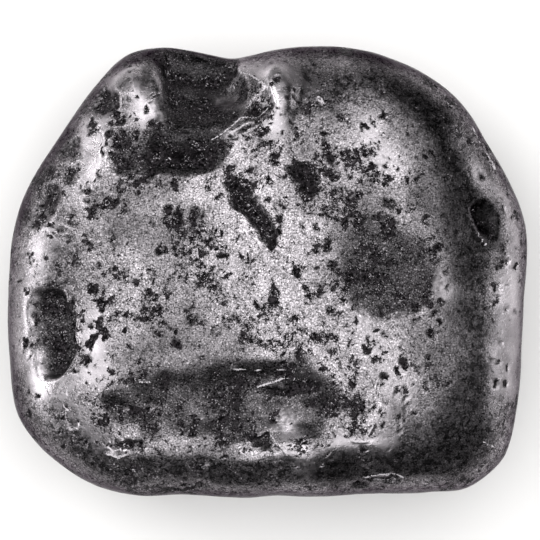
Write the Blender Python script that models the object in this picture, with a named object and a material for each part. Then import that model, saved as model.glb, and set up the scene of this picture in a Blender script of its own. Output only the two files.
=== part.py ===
"""A tumbled shungite pebble, lying on its flattest side.

The pebble is one closed skin. A net of corners is laid over a pillow, which from above has the
pebble's outline and from the side is a boxy superellipse, fuller above its girdle than below it and
boxier on some sides than on others. Tumbling left a slow swell, and soft veins in the rock left
hollows and pits. A patch of the upper side is a convex outline that sinks or swells by a depth
inside its sloping walls. Every other hollow is an ellipse on the skin with a depth, a share that is
level floor, and a lean, which moves its deepest line towards one side. Edges wander with a slow
noise. In the end the net is thinned to a few thousand triangles, which stay small where the skin
bends sharply.

Frame: the origin is under the middle of the pebble at the height it stands on, +X runs along its
length, +Y points to the side with the edge scoop, and +Z points up. Lengths are in millimetres
until the mesh is made.
"""

import math

import bmesh
import bpy
import numpy as np
from mathutils import Vector, noise

# Driving dimensions.
LENGTH = 32.0
WIDTH = 27.8
HEIGHT = 15.6
GIRDLE_HEIGHT = 9.0  # where the pebble is widest
REST_SINK = 0.16  # how far the pillow reaches below the face that it rests on

# The net: squares on the patch over the crown, rows below it, and half as many columns below the girdle.
PATCH_COLUMNS = 112
PATCH_ROWS = 98
SHOULDER_ROWS = 20
FLANK_ROWS = 16
PATCH_SPREAD = 0.32  # widens the squares near the poles and narrows those near the girdle
TRIANGLE_LIMIT = 9700
FLAT_SNAP = 0.004  # corners nearer than this to the resting face lie on it

# The pillow's side view: 2 is an ellipse and more is boxier, for the face and for the wall under it.
CROWN_BOXINESS = 2.9
CROWN_WALL_BOXINESS = 2.25
BASE_BOXINESS = 2.7
BASE_WALL_BOXINESS = 2.1
BASE_SHARE = 0.4  # how much of the sides' gain the underside takes
SIDE_BOXINESS = [  # what both kinds of boxiness gain at an azimuth, in degrees
    (0, 0.0), (40, 0.7), (62, 0.6), (77, 0.2), (88, 0.9), (100, 0.5), (127, 1.0), (152, 0.6), (175, 0.35),
    (225, 1.4), (240, 2.1), (250, 2.2), (262, 2.9), (280, 2.9), (298, 1.2), (318, -0.1),
]
PROFILE_SAMPLES = 1500

# Unevenness, each with its height and its length.
SWELL = (0.16, 5.5)
RIPPLE = (0.035, 1.7)
EDGE_WANDER = (0.28, 1.3)  # of the hollows' edges
WANDER_SEED = 1  # keeps the wandering the same from run to run

MILLIMETRE = 0.001

# The outline seen from above, anticlockwise from +X.
OUTLINE = [
    (16.0, 0.6), (15.85, 2.85), (14.9, 5.45), (13.6, 7.85), (12.15, 10.2), (10.1, 12.0), (7.6, 13.15),
    (5.1, 13.75), (2.5, 13.9), (0.0, 13.6), (-1.1, 13.35), (-2.2, 13.2), (-3.55, 13.45), (-5.0, 13.75),
    (-6.5, 13.85), (-7.8, 13.65), (-8.8, 13.2), (-10.0, 12.0), (-11.7, 9.9), (-13.2, 7.7),
    (-14.6, 5.4), (-15.6, 2.8), (-15.9, 0.0), (-16.0, -2.4), (-15.75, -5.75), (-15.3, -8.6),
    (-14.65, -9.9), (-13.4, -11.3), (-11.6, -12.65), (-10.3, -13.25), (-7.9, -13.8), (-4.8, -13.75),
    (-1.1, -13.9), (1.1, -13.75), (5.7, -13.7), (10.0, -13.6), (11.9, -13.45), (13.1, -12.85),
    (14.3, -11.75), (14.85, -10.7), (15.35, -8.5), (15.6, -4.8), (15.8, -2.0),
]

# Patches of the upper side: how deep each is, then its convex outline of corners (x, y, width of the
# wall that follows). The skin swells where the depth is minus.
PATCHES = {
    "shoulder right of the scoop": (-0.4, [
        (-1.2, 12.4, 1.3), (-0.4, 13.3, 0.8), (1.5, 13.3, 1.4), (2.5, 11.8, 1.4), (2.1, 9.4, 1.4),
        (0.8, 8.6, 1.4), (-0.6, 10.2, 1.4),
    ]),
    "knob left of the scoop": (-0.35, [
        (-10.6, 11.2, 1.2), (-9.4, 12.8, 1.0), (-7.4, 13.4, 1.0), (-6.9, 10.2, 1.6), (-8.0, 9.0, 1.6),
        (-10.2, 9.8, 1.6),
    ]),
    "lower swell": (-0.2, [
        (-10.2, -10.6, 2.2), (-8.4, -8.8, 2.2), (-1.7, -8.7, 2.2), (6.9, -8.3, 2.2), (8.8, -10.2, 2.2),
        (7.8, -12.2, 1.8), (1.4, -13.0, 1.8), (-8.4, -12.8, 2.2),
    ]),
    "edge scoop": (1.5, [
        (-7.5, 12.9, 1.3), (-7.1, 10.8, 1.6), (-6.8, 8.0, 4.2), (-3.7, 6.9, 4.2), (-1.6, 7.8, 3.0),
        (-0.3, 9.8, 1.8), (-0.5, 11.4, 1.5), (-1.4, 12.9, 0.7), (-2.0, 13.7, 0.5), (-7.0, 14.1, 0.5),
    ]),
    "pocket under the ridge": (0.8, [
        (-8.1, 7.6, 1.2), (-7.6, 9.0, 2.4), (-3.9, 9.2, 1.6), (-1.4, 9.3, 0.7), (-1.6, 7.7, 1.2),
        (-2.9, 5.9, 1.6), (-5.0, 5.2, 1.8), (-7.1, 5.6, 1.8), (-8.3, 6.5, 1.2),
    ]),
    "neck between scoop and pocket": (0.2, [
        (-7.3, 10.4, 1.0), (-7.6, 7.8, 1.0), (-3.0, 7.4, 1.0), (-1.4, 8.6, 1.0), (-0.8, 10.2, 1.4),
        (-3.5, 12.2, 1.4), (-6.6, 12.0, 1.0),
    ]),
    "pocket's shallow end": (0.3, [
        (-10.3, 7.7, 1.2), (-9.6, 8.8, 1.2), (-6.8, 8.9, 0.8), (-6.2, 7.4, 0.6), (-6.6, 5.0, 1.2),
        (-9.6, 5.6, 1.2),
    ]),
    "strip under the ridge": (0.3, [
        (-3.8, 7.9, 0.25), (-1.2, 9.0, 0.25), (-0.3, 9.7, 0.2), (-0.1, 9.3, 0.5), (-1.9, 7.7, 0.5),
        (-3.3, 7.2, 0.3),
    ]),
    "ridge's crumbled end": (0.25, [
        (-1.6, 9.7, 0.5), (-1.0, 10.7, 0.5), (0.4, 11.2, 0.5), (0.7, 10.0, 0.5), (-0.2, 9.1, 0.5),
        (-1.2, 9.1, 0.5),
    ]),
    "upper left flank": (0.12, [
        (-14.4, 3.4, 0.9), (-12.3, 7.3, 0.9), (-9.4, 12.0, 0.9), (-8.6, 14.3, 0.5), (-10.0, 14.3, 0.5),
        (-15.9, 4.0, 0.5),
    ]),
    "round dent": (0.35, [
        (-10.9, 10.5, 0.6), (-10.1, 11.5, 0.6), (-8.9, 11.4, 0.6), (-8.6, 10.2, 0.6), (-9.3, 9.4, 0.6),
        (-10.7, 9.5, 0.6),
    ]),
    "upper edge facet": (0.35, [
        (-13.0, 6.9, 0.6), (-12.5, 8.3, 0.6), (-11.4, 8.7, 0.6), (-11.2, 7.8, 0.6), (-12.2, 6.4, 0.6),
    ]),
    "edge crescent": (0.2, [
        (-13.6, 5.8, 0.3), (-13.3, 7.2, 0.3), (-12.8, 6.8, 0.3), (-13.0, 5.9, 0.3),
    ]),
    "lower edge scallop": (0.3, [
        (-15.0, 2.3, 1.2), (-14.3, 5.1, 1.0), (-13.4, 6.0, 0.9), (-12.3, 5.4, 0.9), (-12.4, 3.7, 0.9),
        (-13.6, 2.5, 0.6),
    ]),
    "mottled hollow": (0.2, [
        (-7.6, 2.9, 1.6), (-6.1, 4.8, 1.6), (-3.6, 4.8, 1.6), (-2.8, 2.8, 1.6), (-3.9, 0.7, 1.6),
        (-6.2, 0.5, 1.6),
    ]),
    "slanted groove": (0.55, [
        (-2.6, 5.3, 0.4), (-1.7, 5.8, 0.35), (-0.9, 5.0, 0.35), (0.0, 3.5, 0.35), (0.8, 1.9, 0.35),
        (0.5, 1.2, 0.4), (-0.8, 2.2, 0.4), (-1.9, 3.7, 0.4),
    ]),
    "crown pit": (0.5, [
        (1.1, 6.2, 0.6), (1.6, 6.9, 0.6), (2.6, 6.7, 0.5), (3.3, 5.5, 0.5), (3.1, 4.6, 0.5),
        (2.3, 4.3, 0.5), (1.6, 5.1, 0.5),
    ]),
    "saddle": (0.2, [
        (2.8, 8.4, 0.8), (3.6, 9.0, 0.8), (4.5, 7.7, 0.8), (4.7, 6.1, 0.8), (4.1, 5.4, 0.8), (3.5, 6.1, 0.8),
    ]),
    "shallow basin": (0.2, [
        (3.6, -0.4, 2.0), (3.4, 2.0, 2.6), (4.6, 4.4, 2.8), (7.4, 4.8, 2.6), (9.8, 3.4, 2.2),
        (11.2, 0.8, 1.6), (10.7, -1.9, 1.2), (8.6, -3.0, 1.2), (5.4, -3.0, 1.4),
    ]),
    "edge pit": (0.8, [
        (12.1, 3.8, 0.8), (12.6, 4.8, 0.9), (13.4, 4.9, 1.3), (14.2, 3.8, 1.4), (14.5, 2.4, 1.3),
        (13.9, 1.4, 1.1), (13.0, 1.9, 0.8), (12.3, 2.9, 0.6),
    ]),
    "rim groove": (0.3, [
        (12.7, 8.8, 0.2), (13.0, 8.9, 0.2), (13.6, 7.7, 0.2), (14.2, 6.5, 0.2), (14.1, 6.2, 0.2),
        (13.3, 7.4, 0.2),
    ]),
    "side pit": (1.1, [
        (-15.3, -2.9, 2.2), (-15.3, -1.5, 1.5), (-14.4, -0.5, 0.9), (-12.9, -0.6, 0.7), (-12.1, -1.4, 0.6),
        (-11.5, -2.8, 0.6), (-11.3, -3.9, 0.6), (-11.5, -5.1, 0.6), (-12.1, -6.1, 0.6), (-12.8, -6.7, 0.6),
        (-13.7, -6.8, 0.9), (-14.5, -6.2, 2.0),
    ]),
    "long trough": (0.8, [
        (-11.5, -7.9, 3.0), (-9.8, -5.6, 4.2), (-7.2, -4.3, 4.0), (-2.6, -3.8, 3.4), (2.6, -4.1, 3.0),
        (4.7, -6.2, 2.0), (5.3, -8.4, 2.0), (4.6, -10.6, 2.4), (2.0, -11.6, 3.2), (-4.1, -11.6, 3.2),
        (-8.6, -11.0, 2.2), (-11.1, -9.3, 2.2),
    ]),
    "trough's dark wall": (0.15, [
        (-4.2, -6.3, 2.0), (-3.2, -4.7, 2.0), (-0.2, -4.4, 2.0), (3.4, -4.8, 1.6), (3.9, -6.5, 1.4),
        (2.0, -7.6, 1.6), (-0.3, -8.0, 1.6), (-3.0, -7.8, 1.6),
    ]),
    "trough's left hollow": (0.35, [
        (-10.8, -7.9, 1.5), (-9.8, -6.6, 1.5), (-8.5, -6.8, 1.5), (-8.0, -8.5, 1.5), (-8.8, -10.0, 1.5),
        (-10.4, -9.4, 1.5),
    ]),
    "trough's second ledge": (0.25, [
        (-0.7, -7.6, 0.3), (-0.2, -7.1, 0.25), (1.6, -6.8, 0.25), (3.4, -6.8, 0.3), (3.3, -7.4, 0.4),
        (1.4, -7.7, 0.4),
    ]),
    "chip below the trough": (0.4, [
        (-1.2, -10.2, 0.3), (0.3, -9.7, 0.3), (0.8, -10.6, 0.25), (1.1, -11.3, 0.8), (-0.3, -11.2, 0.8),
    ]),
    "crack left of the trough": (0.25, [
        (-10.0, -11.0, 0.2), (-9.5, -10.6, 0.2), (-7.4, -10.1, 0.2), (-7.3, -10.4, 0.2),
        (-8.6, -10.9, 0.2),
    ]),
    "lens pit on the lower edge": (0.45, [
        (5.9, -12.7, 0.2), (6.6, -12.3, 0.2), (7.8, -12.3, 0.2), (8.4, -12.6, 0.2), (7.7, -12.8, 0.2),
        (6.6, -12.8, 0.2),
    ]),
    "pit beside the lens pit": (0.25, [
        (5.0, -12.7, 0.2), (5.6, -12.6, 0.2), (6.5, -13.2, 0.2), (5.8, -13.3, 0.2),
    ]),
    "chip on the lower edge": (0.25, [
        (-5.8, -13.1, 0.3), (-5.0, -12.7, 0.3), (-3.8, -12.7, 0.3), (-3.1, -13.2, 0.3), (-4.7, -13.4, 0.3),
    ]),
}
EDGE_FADE = (0.1, 0.5)  # patches fade out where the skin's upward part falls from the second to the first

# Hollows of the underside, as seen through the pebble from above: name, (x, y), turn in degrees, half
# length, half width, depth, floor, lean. A lean of 1 would bring the deepest line to the edge.
BASE_HOLLOWS = [
    ("underside scoop", (8.9, 5.6), 25, 3.2, 2.1, 0.8, 0.3, 0.2),
    ("underside pit", (-9.8, -5.9), 70, 1.9, 1.2, 0.75, 0.4, 0.0),
    ("underside groove", (-8.4, 6.8), -30, 3.0, 0.9, 0.5, 0.3, 0.2),
    ("underside dent", (6.6, -8.6), 10, 2.3, 1.4, 0.5, 0.3, 0.0),
    ("underside small pit", (-1.8, 8.9), 55, 1.0, 0.7, 0.4, 0.4, 0.0),
]

# Hollows of the flank: name, azimuth in degrees, height, turn from level, then as above.
FLANK_HOLLOWS = [
    ("front flank hollow", -74, 5.6, 8, 2.9, 1.4, 0.6, 0.3, 0.0),
    ("front flank pit", -117, 6.3, 60, 1.1, 0.8, 0.5, 0.4, 0.0),
    ("front flank dimple", -97, 8.6, 10, 0.8, 0.5, 0.3, 0.4, 0.0),
    ("right flank scoop", -14, 5.0, -15, 2.5, 1.4, 0.55, 0.3, 0.0),
    ("right flank pit", 17, 6.2, 40, 0.9, 0.6, 0.4, 0.4, 0.0),
    ("back flank hollow", 62, 5.8, 10, 2.6, 1.2, 0.55, 0.3, 0.0),
    ("back flank pit", 128, 5.2, 40, 1.4, 0.9, 0.5, 0.4, 0.0),
    ("back flank dimple", 96, 7.2, 0, 0.9, 0.6, 0.3, 0.4, 0.0),
    ("left flank scoop", 197, 4.9, 20, 2.3, 1.3, 0.5, 0.3, 0.0),
    ("left flank pit", 168, 7.0, 80, 0.8, 0.5, 0.35, 0.4, 0.0),
]

# Pits of the upper side, by region: (x, y, half length, half width, turn in degrees).
PITS = {
    "upper left": [
        (-10.7, 9.1, 0.4, 0.25, 90), (-10.3, 6.0, 0.4, 0.25, 90), (-12.0, 5.9, 0.45, 0.3, 20),
        (-9.0, 5.3, 0.5, 0.25, 90), (-9.6, 4.2, 0.6, 0.4, 15), (-10.6, 3.4, 0.4, 0.3, 30),
        (-5.4, 3.1, 0.65, 0.35, 80), (-4.3, 3.4, 0.65, 0.4, 70), (-6.3, 1.4, 0.5, 0.4, 10),
    ],
    "crown": [
        (0.7, 11.6, 0.5, 0.25, 45), (-0.6, 9.8, 0.75, 0.4, 25), (-0.2, 8.5, 0.4, 0.35, 20),
        (0.4, 6.7, 0.55, 0.4, 60), (1.9, 8.3, 0.6, 0.2, -75), (2.8, 5.6, 0.45, 0.4, 40),
        (0.1, 4.4, 0.4, 0.3, 60), (7.6, 4.1, 0.75, 0.4, -35), (5.5, 4.6, 0.5, 0.25, -15),
        (5.8, 8.7, 0.4, 0.25, 80), (7.1, 9.6, 0.45, 0.25, 15), (12.2, 8.0, 0.5, 0.3, -60),
    ],
    "left": [
        (-12.7, 2.5, 0.4, 0.2, 15), (-14.8, -4.5, 0.4, 0.35, 30), (-10.6, -1.1, 0.55, 0.25, -65),
        (-10.0, -2.3, 0.5, 0.3, 75), (-10.2, -3.1, 0.45, 0.3, 60), (-11.0, -5.6, 0.45, 0.25, 85),
        (-7.4, -2.9, 0.4, 0.25, -10), (-12.1, -9.4, 0.4, 0.2, -40), (-5.9, -1.3, 0.4, 0.2, -15),
    ],
    "middle": [
        (-3.0, -3.5, 0.4, 0.25, -50), (3.7, 1.3, 0.55, 0.25, 75), (4.2, 0.4, 0.35, 0.25, 0),
        (5.4, -5.4, 0.4, 0.25, -50), (6.1, -4.8, 0.35, 0.25, 70), (9.0, -3.0, 0.4, 0.2, -80),
        (8.4, -5.5, 0.35, 0.3, 0), (7.9, -9.0, 0.4, 0.3, 60),
    ],
    "right": [
        (14.7, 4.9, 0.5, 0.25, -58), (14.5, 0.5, 0.5, 0.3, -20), (14.4, 1.4, 0.5, 0.2, -68),
        (15.3, -2.4, 0.4, 0.25, 75), (13.4, -11.9, 0.4, 0.2, 40),
    ],
    "lower edge": [
        (-5.5, -13.4, 0.5, 0.25, -10), (5.7, -13.1, 0.5, 0.25, -35), (2.6, -13.2, 0.5, 0.2, -5),
        (-8.0, -10.6, 0.55, 0.2, 25), (12.5, -12.9, 0.6, 0.15, 18),
    ],
}
PIT_DEPTH = 0.75  # of its half width
PIT_FLOOR = 0.4


def smooth_step(value, low, high):
    t = ((value - low) / (high - low)).clip(0, 1)
    return t**2 * (3 - 2 * t)


def outline_radius(azimuths):
    """The outline's distance from the middle at each azimuth, on a smooth closed curve through OUTLINE."""
    corners = np.array(OUTLINE)
    corners -= (corners.max(axis=0) + corners.min(axis=0)) / 2
    corners *= np.array([LENGTH, WIDTH]) / np.ptp(corners, axis=0)
    turn = np.unwrap(np.arctan2(corners[:, 1], corners[:, 0]))
    reach = np.hypot(corners[:, 0], corners[:, 1])
    full = 2 * math.pi
    turn = np.concatenate([turn[-2:] - full, turn, turn[:3] + full])
    reach = np.concatenate([reach[-2:], reach, reach[:3]])
    slope = (reach[2:] - reach[:-2]) / (turn[2:] - turn[:-2])
    azimuths = turn[1] + (azimuths - turn[1]) % full
    k = np.clip(np.searchsorted(turn, azimuths, side="right") - 1, 1, len(turn) - 3)
    span = turn[k + 1] - turn[k]
    t = (azimuths - turn[k]) / span
    return (
        (2 * t**3 - 3 * t**2 + 1) * reach[k]
        + (t**3 - 2 * t**2 + t) * span * slope[k - 1]
        + (3 * t**2 - 2 * t**3) * reach[k + 1]
        + (t**3 - t**2) * span * slope[k]
    )


def side_boxiness(azimuth):
    """What the boxiness gains at each azimuth, which goes smoothly from one side to the next."""
    turn = np.degrees(azimuth) % 360
    sides = SIDE_BOXINESS + [(360, SIDE_BOXINESS[0][1])]
    gain = np.zeros(len(turn))
    for (start, first), (end, second) in zip(sides, sides[1:]):
        here = (turn >= start) & (turn <= end)
        gain[here] = first + (second - first) * smooth_step(turn[here], start, end)
    return gain


def profile(share, boxiness, wall_boxiness, more):
    """Reach and height, each 0 to 1, at a share of the way from the pole (0) to the girdle (1).

    The share is even along the plain profile. more, for each corner, is added to both kinds of boxiness.
    """
    angle = np.linspace(0, math.pi / 2, PROFILE_SAMPLES)
    reach = np.sin(angle) ** (2 / wall_boxiness)
    rise = (1 - reach**boxiness).clip(0) ** (1 / wall_boxiness)
    way = np.concatenate([[0], np.cumsum(np.hypot(np.diff(reach), np.diff(rise) / 2))])
    angle = np.interp(share, way / way[-1], angle)
    reach = np.sin(angle) ** (2 / (wall_boxiness + more))
    return reach, (1 - reach ** (boxiness + more)).clip(0) ** (1 / (wall_boxiness + more))


def on_pillow(azimuth, polar):
    """The point of the plain pillow at an azimuth and at a polar angle, which is 0 at the crown."""
    upper = polar <= math.pi / 2
    share = np.where(upper, polar, math.pi - polar) / (math.pi / 2)
    share = share * (1 + PATCH_SPREAD * (1 - share))
    more = side_boxiness(azimuth)
    crown_reach, crown_rise = profile(share, CROWN_BOXINESS, CROWN_WALL_BOXINESS, more)
    base_reach, base_rise = profile(share, BASE_BOXINESS, BASE_WALL_BOXINESS, more * BASE_SHARE)
    reach = np.where(upper, crown_reach, base_reach) * outline_radius(azimuth)
    crown_height = GIRDLE_HEIGHT + (HEIGHT - GIRDLE_HEIGHT) * crown_rise
    base_height = GIRDLE_HEIGHT - (GIRDLE_HEIGHT + REST_SINK) * base_rise
    height = np.where(upper, crown_height, base_height)
    return np.stack([reach * np.cos(azimuth), reach * np.sin(azimuth), height], axis=1)


def patch_directions(columns, rows):
    """(azimuth, polar) of each corner of a patch laid over a pole, row by row, as on one face of a cube."""
    side = np.tan(np.linspace(-math.pi / 4, math.pi / 4, columns + 1))
    front = np.tan(np.linspace(-math.pi / 4, math.pi / 4, rows + 1))
    x, y = np.meshgrid(side, front)
    return np.arctan2(y, x).ravel(), np.arctan(np.hypot(x, y)).ravel()


def patch_border(columns, rows):
    """Indices of a patch's border corners, anticlockwise from its first corner."""
    across = columns + 1
    front = [c for c in range(columns)]
    right = [r * across + columns for r in range(rows)]
    back = [rows * across + c for c in range(columns, 0, -1)]
    left = [r * across for r in range(rows, 0, -1)]
    return front + right + back + left


def patch_faces(columns, rows):
    across = columns + 1
    for r in range(rows):
        for c in range(columns):
            first = r * across + c
            yield (first, first + 1, first + across + 1, first + across)


def belt_faces(upper, lower):
    """Quads between two closed rows of corners, or fans of triangles where the lower row has half as many."""
    count = len(upper)
    if len(lower) == count:
        for i in range(count):
            j = (i + 1) % count
            yield (upper[i], lower[i], lower[j], upper[j])
        return
    for i in range(0, count, 2):
        here, there = lower[i // 2], lower[(i // 2 + 1) % len(lower)]
        middle, last = upper[i + 1], upper[(i + 2) % count]
        yield (upper[i], here, middle)
        yield (here, there, middle)
        yield (middle, there, last)


def make_net():
    """(azimuths, polar angles, faces) of the whole closed net."""
    azimuth, polar = patch_directions(PATCH_COLUMNS, PATCH_ROWS)
    azimuths, polars = [azimuth], [polar]
    faces = list(patch_faces(PATCH_COLUMNS, PATCH_ROWS))
    row = patch_border(PATCH_COLUMNS, PATCH_ROWS)
    border_azimuth, border_polar = azimuth[row], polar[row]
    count = len(azimuth)
    for k in range(1, SHOULDER_ROWS + 1):
        below = list(range(count, count + len(row)))
        azimuths.append(border_azimuth)
        polars.append(border_polar + (math.pi / 2 - border_polar) * k / SHOULDER_ROWS)
        faces += belt_faces(row, below)
        count += len(below)
        row = below
    half_azimuth, half_polar = border_azimuth[::2], math.pi - border_polar[::2]
    for k in range(1, FLANK_ROWS + 1):
        below = list(range(count, count + len(half_azimuth)))
        azimuths.append(half_azimuth)
        polars.append(math.pi / 2 + (half_polar - math.pi / 2) * k / (FLANK_ROWS + 1))
        faces += belt_faces(row, below)
        count += len(below)
        row = below
    columns, rows = PATCH_COLUMNS // 2, PATCH_ROWS // 2
    azimuth, polar = patch_directions(columns, rows)
    azimuths.append(azimuth)
    polars.append(math.pi - polar)
    faces += belt_faces(row, [count + i for i in patch_border(columns, rows)])
    faces += [tuple(count + i for i in reversed(face)) for face in patch_faces(columns, rows)]
    return np.concatenate(azimuths), np.concatenate(polars), faces


def skin_normals(points, faces):
    """Outward unit normals of the net at its corners."""
    mesh = bpy.data.meshes.new("normals")
    mesh.from_pydata(points.tolist(), [], faces)
    normals = np.empty(len(points) * 3)
    mesh.vertices.foreach_get("normal", normals)
    bpy.data.meshes.remove(mesh)
    return normals.reshape(-1, 3)


def uneven(points, height, length):
    """A smooth noise of the given height at each corner."""
    return height * np.array([noise.noise(Vector(p) / length) for p in points])


def wander(points, height, length):
    """Each corner moved a little way by a smooth noise, which makes the hollows' edges wander."""
    noise.seed_set(WANDER_SEED)
    return points + height * np.array([noise.noise_vector(Vector(p) / length) for p in points])


def hollow_depth(places, normals, middle, level, turn, half_length, half_width, depth, floor, lean):
    """How deep one hollow is at each corner. level is the direction that its turn is measured from."""
    outward = normals[middle]
    along = level - outward * (level @ outward)
    along /= np.linalg.norm(along)
    across = np.cross(outward, along)
    turn = math.radians(turn)
    away = places - places[middle]
    x = away @ (along * math.cos(turn) + across * math.sin(turn)) / half_length
    y = away @ (across * math.cos(turn) - along * math.sin(turn)) / half_width
    y = y - lean * (1 - np.hypot(x, y)).clip(0)
    slope = ((1 - np.hypot(x, y)) / (1 - floor)).clip(0, 1)
    facing = (normals @ outward).clip(0, 1)
    return depth * slope**2 * (3 - 2 * slope) * np.minimum(1, 2 * facing)


def nearest(points, target, allowed):
    """Number of the corner nearest to a target, which is given by its first two or by all three axes."""
    away = np.linalg.norm(points[:, : len(target)] - np.array(target), axis=1)
    return int(np.argmin(np.where(allowed, away, np.inf)))


def all_hollows(points, normals):
    """(corner number, level direction, turn, half length, half width, depth, floor, lean) of each hollow."""
    east = np.array([1.0, 0.0, 0.0])
    facing_up, facing_down = normals[:, 2] > 0.12, normals[:, 2] < -0.12
    anywhere = np.ones(len(points), bool)
    for _, place, turn, *shape in BASE_HOLLOWS:
        yield nearest(points, place, facing_down), east, -turn, *shape
    for _, azimuth, height, turn, *shape in FLANK_HOLLOWS:
        azimuth = math.radians(azimuth)
        reach = float(outline_radius(np.array([azimuth]))[0])
        place = (reach * math.cos(azimuth), reach * math.sin(azimuth), height)
        around = np.array([-math.sin(azimuth), math.cos(azimuth), 0.0])
        yield nearest(points, place, anywhere), around, turn, *shape
    for pits in PITS.values():
        for x, y, half_length, half_width, turn in pits:
            middle = nearest(points, (x, y), facing_up)
            yield middle, east, turn, half_length, half_width, PIT_DEPTH * half_width, PIT_FLOOR, 0.0


def patch_share(places, corners):
    """0 outside a convex patch to 1 within all its walls, for each corner of the net."""
    x, y, wall = np.array(corners).T
    along_x, along_y = np.roll(x, -1) - x, np.roll(y, -1) - y
    run = np.hypot(along_x, along_y) * np.sign((x * np.roll(y, -1) - np.roll(x, -1) * y).sum())
    share = np.ones(len(places))
    for k in range(len(x)):
        inside = (along_x[k] * (places[:, 1] - y[k]) - along_y[k] * (places[:, 0] - x[k])) / run[k]
        share *= smooth_step(inside, 0, wall[k])
    return share


def shape_skin(points, faces):
    normals = skin_normals(points, faces)
    places = wander(points, *EDGE_WANDER)
    lift = uneven(points, *SWELL) + uneven(points, *RIPPLE)
    upward = smooth_step(normals[:, 2], *EDGE_FADE)
    for depth, corners in PATCHES.values():
        lift -= depth * patch_share(places, corners) * upward
    for hollow in all_hollows(points, normals):
        lift -= hollow_depth(places, normals, *hollow)
    return points + normals * lift[:, None]


def settle(points):
    """Grinds the resting face flat, then brings the stone to its exact size over the origin."""
    points = points.copy()
    points[points[:, 2] < FLAT_SNAP, 2] = 0
    low, high = points.min(axis=0), points.max(axis=0)
    points -= [(low[0] + high[0]) / 2, (low[1] + high[1]) / 2, 0]
    return points * (np.array([LENGTH, WIDTH, HEIGHT]) / [high[0] - low[0], high[1] - low[1], high[2]])


def thin_out(points, faces):
    """The same skin with at most TRIANGLE_LIMIT triangles, as corners and faces."""
    mesh = bpy.data.meshes.new("fine_skin")
    mesh.from_pydata(points.tolist(), [], faces)
    obj = bpy.data.objects.new("fine_skin", mesh)
    bpy.context.scene.collection.objects.link(obj)
    thinner = obj.modifiers.new("thin out", "DECIMATE")
    thinner.ratio = TRIANGLE_LIMIT / sum(len(face) - 2 for face in faces)
    thinner.use_collapse_triangulate = True
    thinned = obj.evaluated_get(bpy.context.evaluated_depsgraph_get()).to_mesh()
    corners = np.array([corner.co[:] for corner in thinned.vertices])
    triangles = [tuple(face.vertices) for face in thinned.polygons]
    bpy.data.objects.remove(obj, do_unlink=True)
    return corners, triangles


def polished_stone():
    material = bpy.data.materials.new("polished_shungite")
    material.use_nodes = True
    finish = material.node_tree.nodes["Principled BSDF"]
    finish.inputs["Base Color"].default_value = (0.06, 0.06, 0.065, 1.0)
    finish.inputs["Roughness"].default_value = 0.34
    finish.inputs["Metallic"].default_value = 0.35
    material.diffuse_color = (0.06, 0.06, 0.065, 1.0)
    return material


def make_stone():
    azimuth, polar, faces = make_net()
    skin = settle(shape_skin(on_pillow(azimuth, polar), faces))
    corners, triangles = thin_out(skin, faces)
    mesh = bpy.data.meshes.new("shungite_stone")
    mesh.from_pydata((settle(corners) * MILLIMETRE).tolist(), [], triangles)
    net = bmesh.new()
    net.from_mesh(mesh)
    bmesh.ops.recalc_face_normals(net, faces=net.faces)
    net.to_mesh(mesh)
    net.free()
    mesh.shade_smooth()
    mesh.materials.append(polished_stone())
    stone = bpy.data.objects.new("shungite_stone", mesh)
    bpy.context.scene.collection.objects.link(stone)
    return stone


def main():
    for obj in list(bpy.data.objects):
        bpy.data.objects.remove(obj, do_unlink=True)
    make_stone()


main()
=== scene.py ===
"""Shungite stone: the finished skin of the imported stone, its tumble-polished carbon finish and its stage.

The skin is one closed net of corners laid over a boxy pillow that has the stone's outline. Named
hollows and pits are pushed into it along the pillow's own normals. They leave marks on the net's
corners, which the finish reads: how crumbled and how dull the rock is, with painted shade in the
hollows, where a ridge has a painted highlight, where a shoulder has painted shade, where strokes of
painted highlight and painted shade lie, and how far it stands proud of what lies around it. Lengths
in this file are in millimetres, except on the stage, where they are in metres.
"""

import math
import random

import bpy
import numpy as np
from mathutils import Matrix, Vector, noise


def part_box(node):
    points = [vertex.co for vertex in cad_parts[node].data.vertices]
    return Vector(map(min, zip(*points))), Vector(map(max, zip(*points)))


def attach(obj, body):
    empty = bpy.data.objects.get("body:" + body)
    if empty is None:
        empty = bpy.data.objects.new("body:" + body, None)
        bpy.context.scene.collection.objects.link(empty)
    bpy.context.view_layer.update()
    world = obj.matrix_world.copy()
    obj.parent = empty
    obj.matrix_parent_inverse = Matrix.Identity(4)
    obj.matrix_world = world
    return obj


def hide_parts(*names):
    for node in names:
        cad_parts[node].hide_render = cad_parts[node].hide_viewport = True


bl_info = {
    "name": "Shungite Stone",
    "version": (1, 0, 0),
    "blender": (4, 5, 0),
    "location": "View3D > Sidebar > Stone",
    "description": "Makes a tumbled shungite stone with its hollows, pits and finish, on a plain stage",
    "category": "Add Mesh",
}

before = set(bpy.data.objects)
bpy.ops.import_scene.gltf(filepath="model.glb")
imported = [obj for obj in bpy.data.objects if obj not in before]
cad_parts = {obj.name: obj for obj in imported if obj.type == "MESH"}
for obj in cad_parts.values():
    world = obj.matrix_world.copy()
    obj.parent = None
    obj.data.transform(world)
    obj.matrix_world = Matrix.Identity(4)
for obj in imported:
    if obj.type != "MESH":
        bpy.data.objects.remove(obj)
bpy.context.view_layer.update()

NODE = "shungite_stone"
SLOT = "polished_shungite"
MILLIMETRE = 0.001
STONE_LOW, STONE_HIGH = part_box(NODE)
STONE_SIZE = [(high - low) / MILLIMETRE for low, high in zip(STONE_LOW, STONE_HIGH)]

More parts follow.
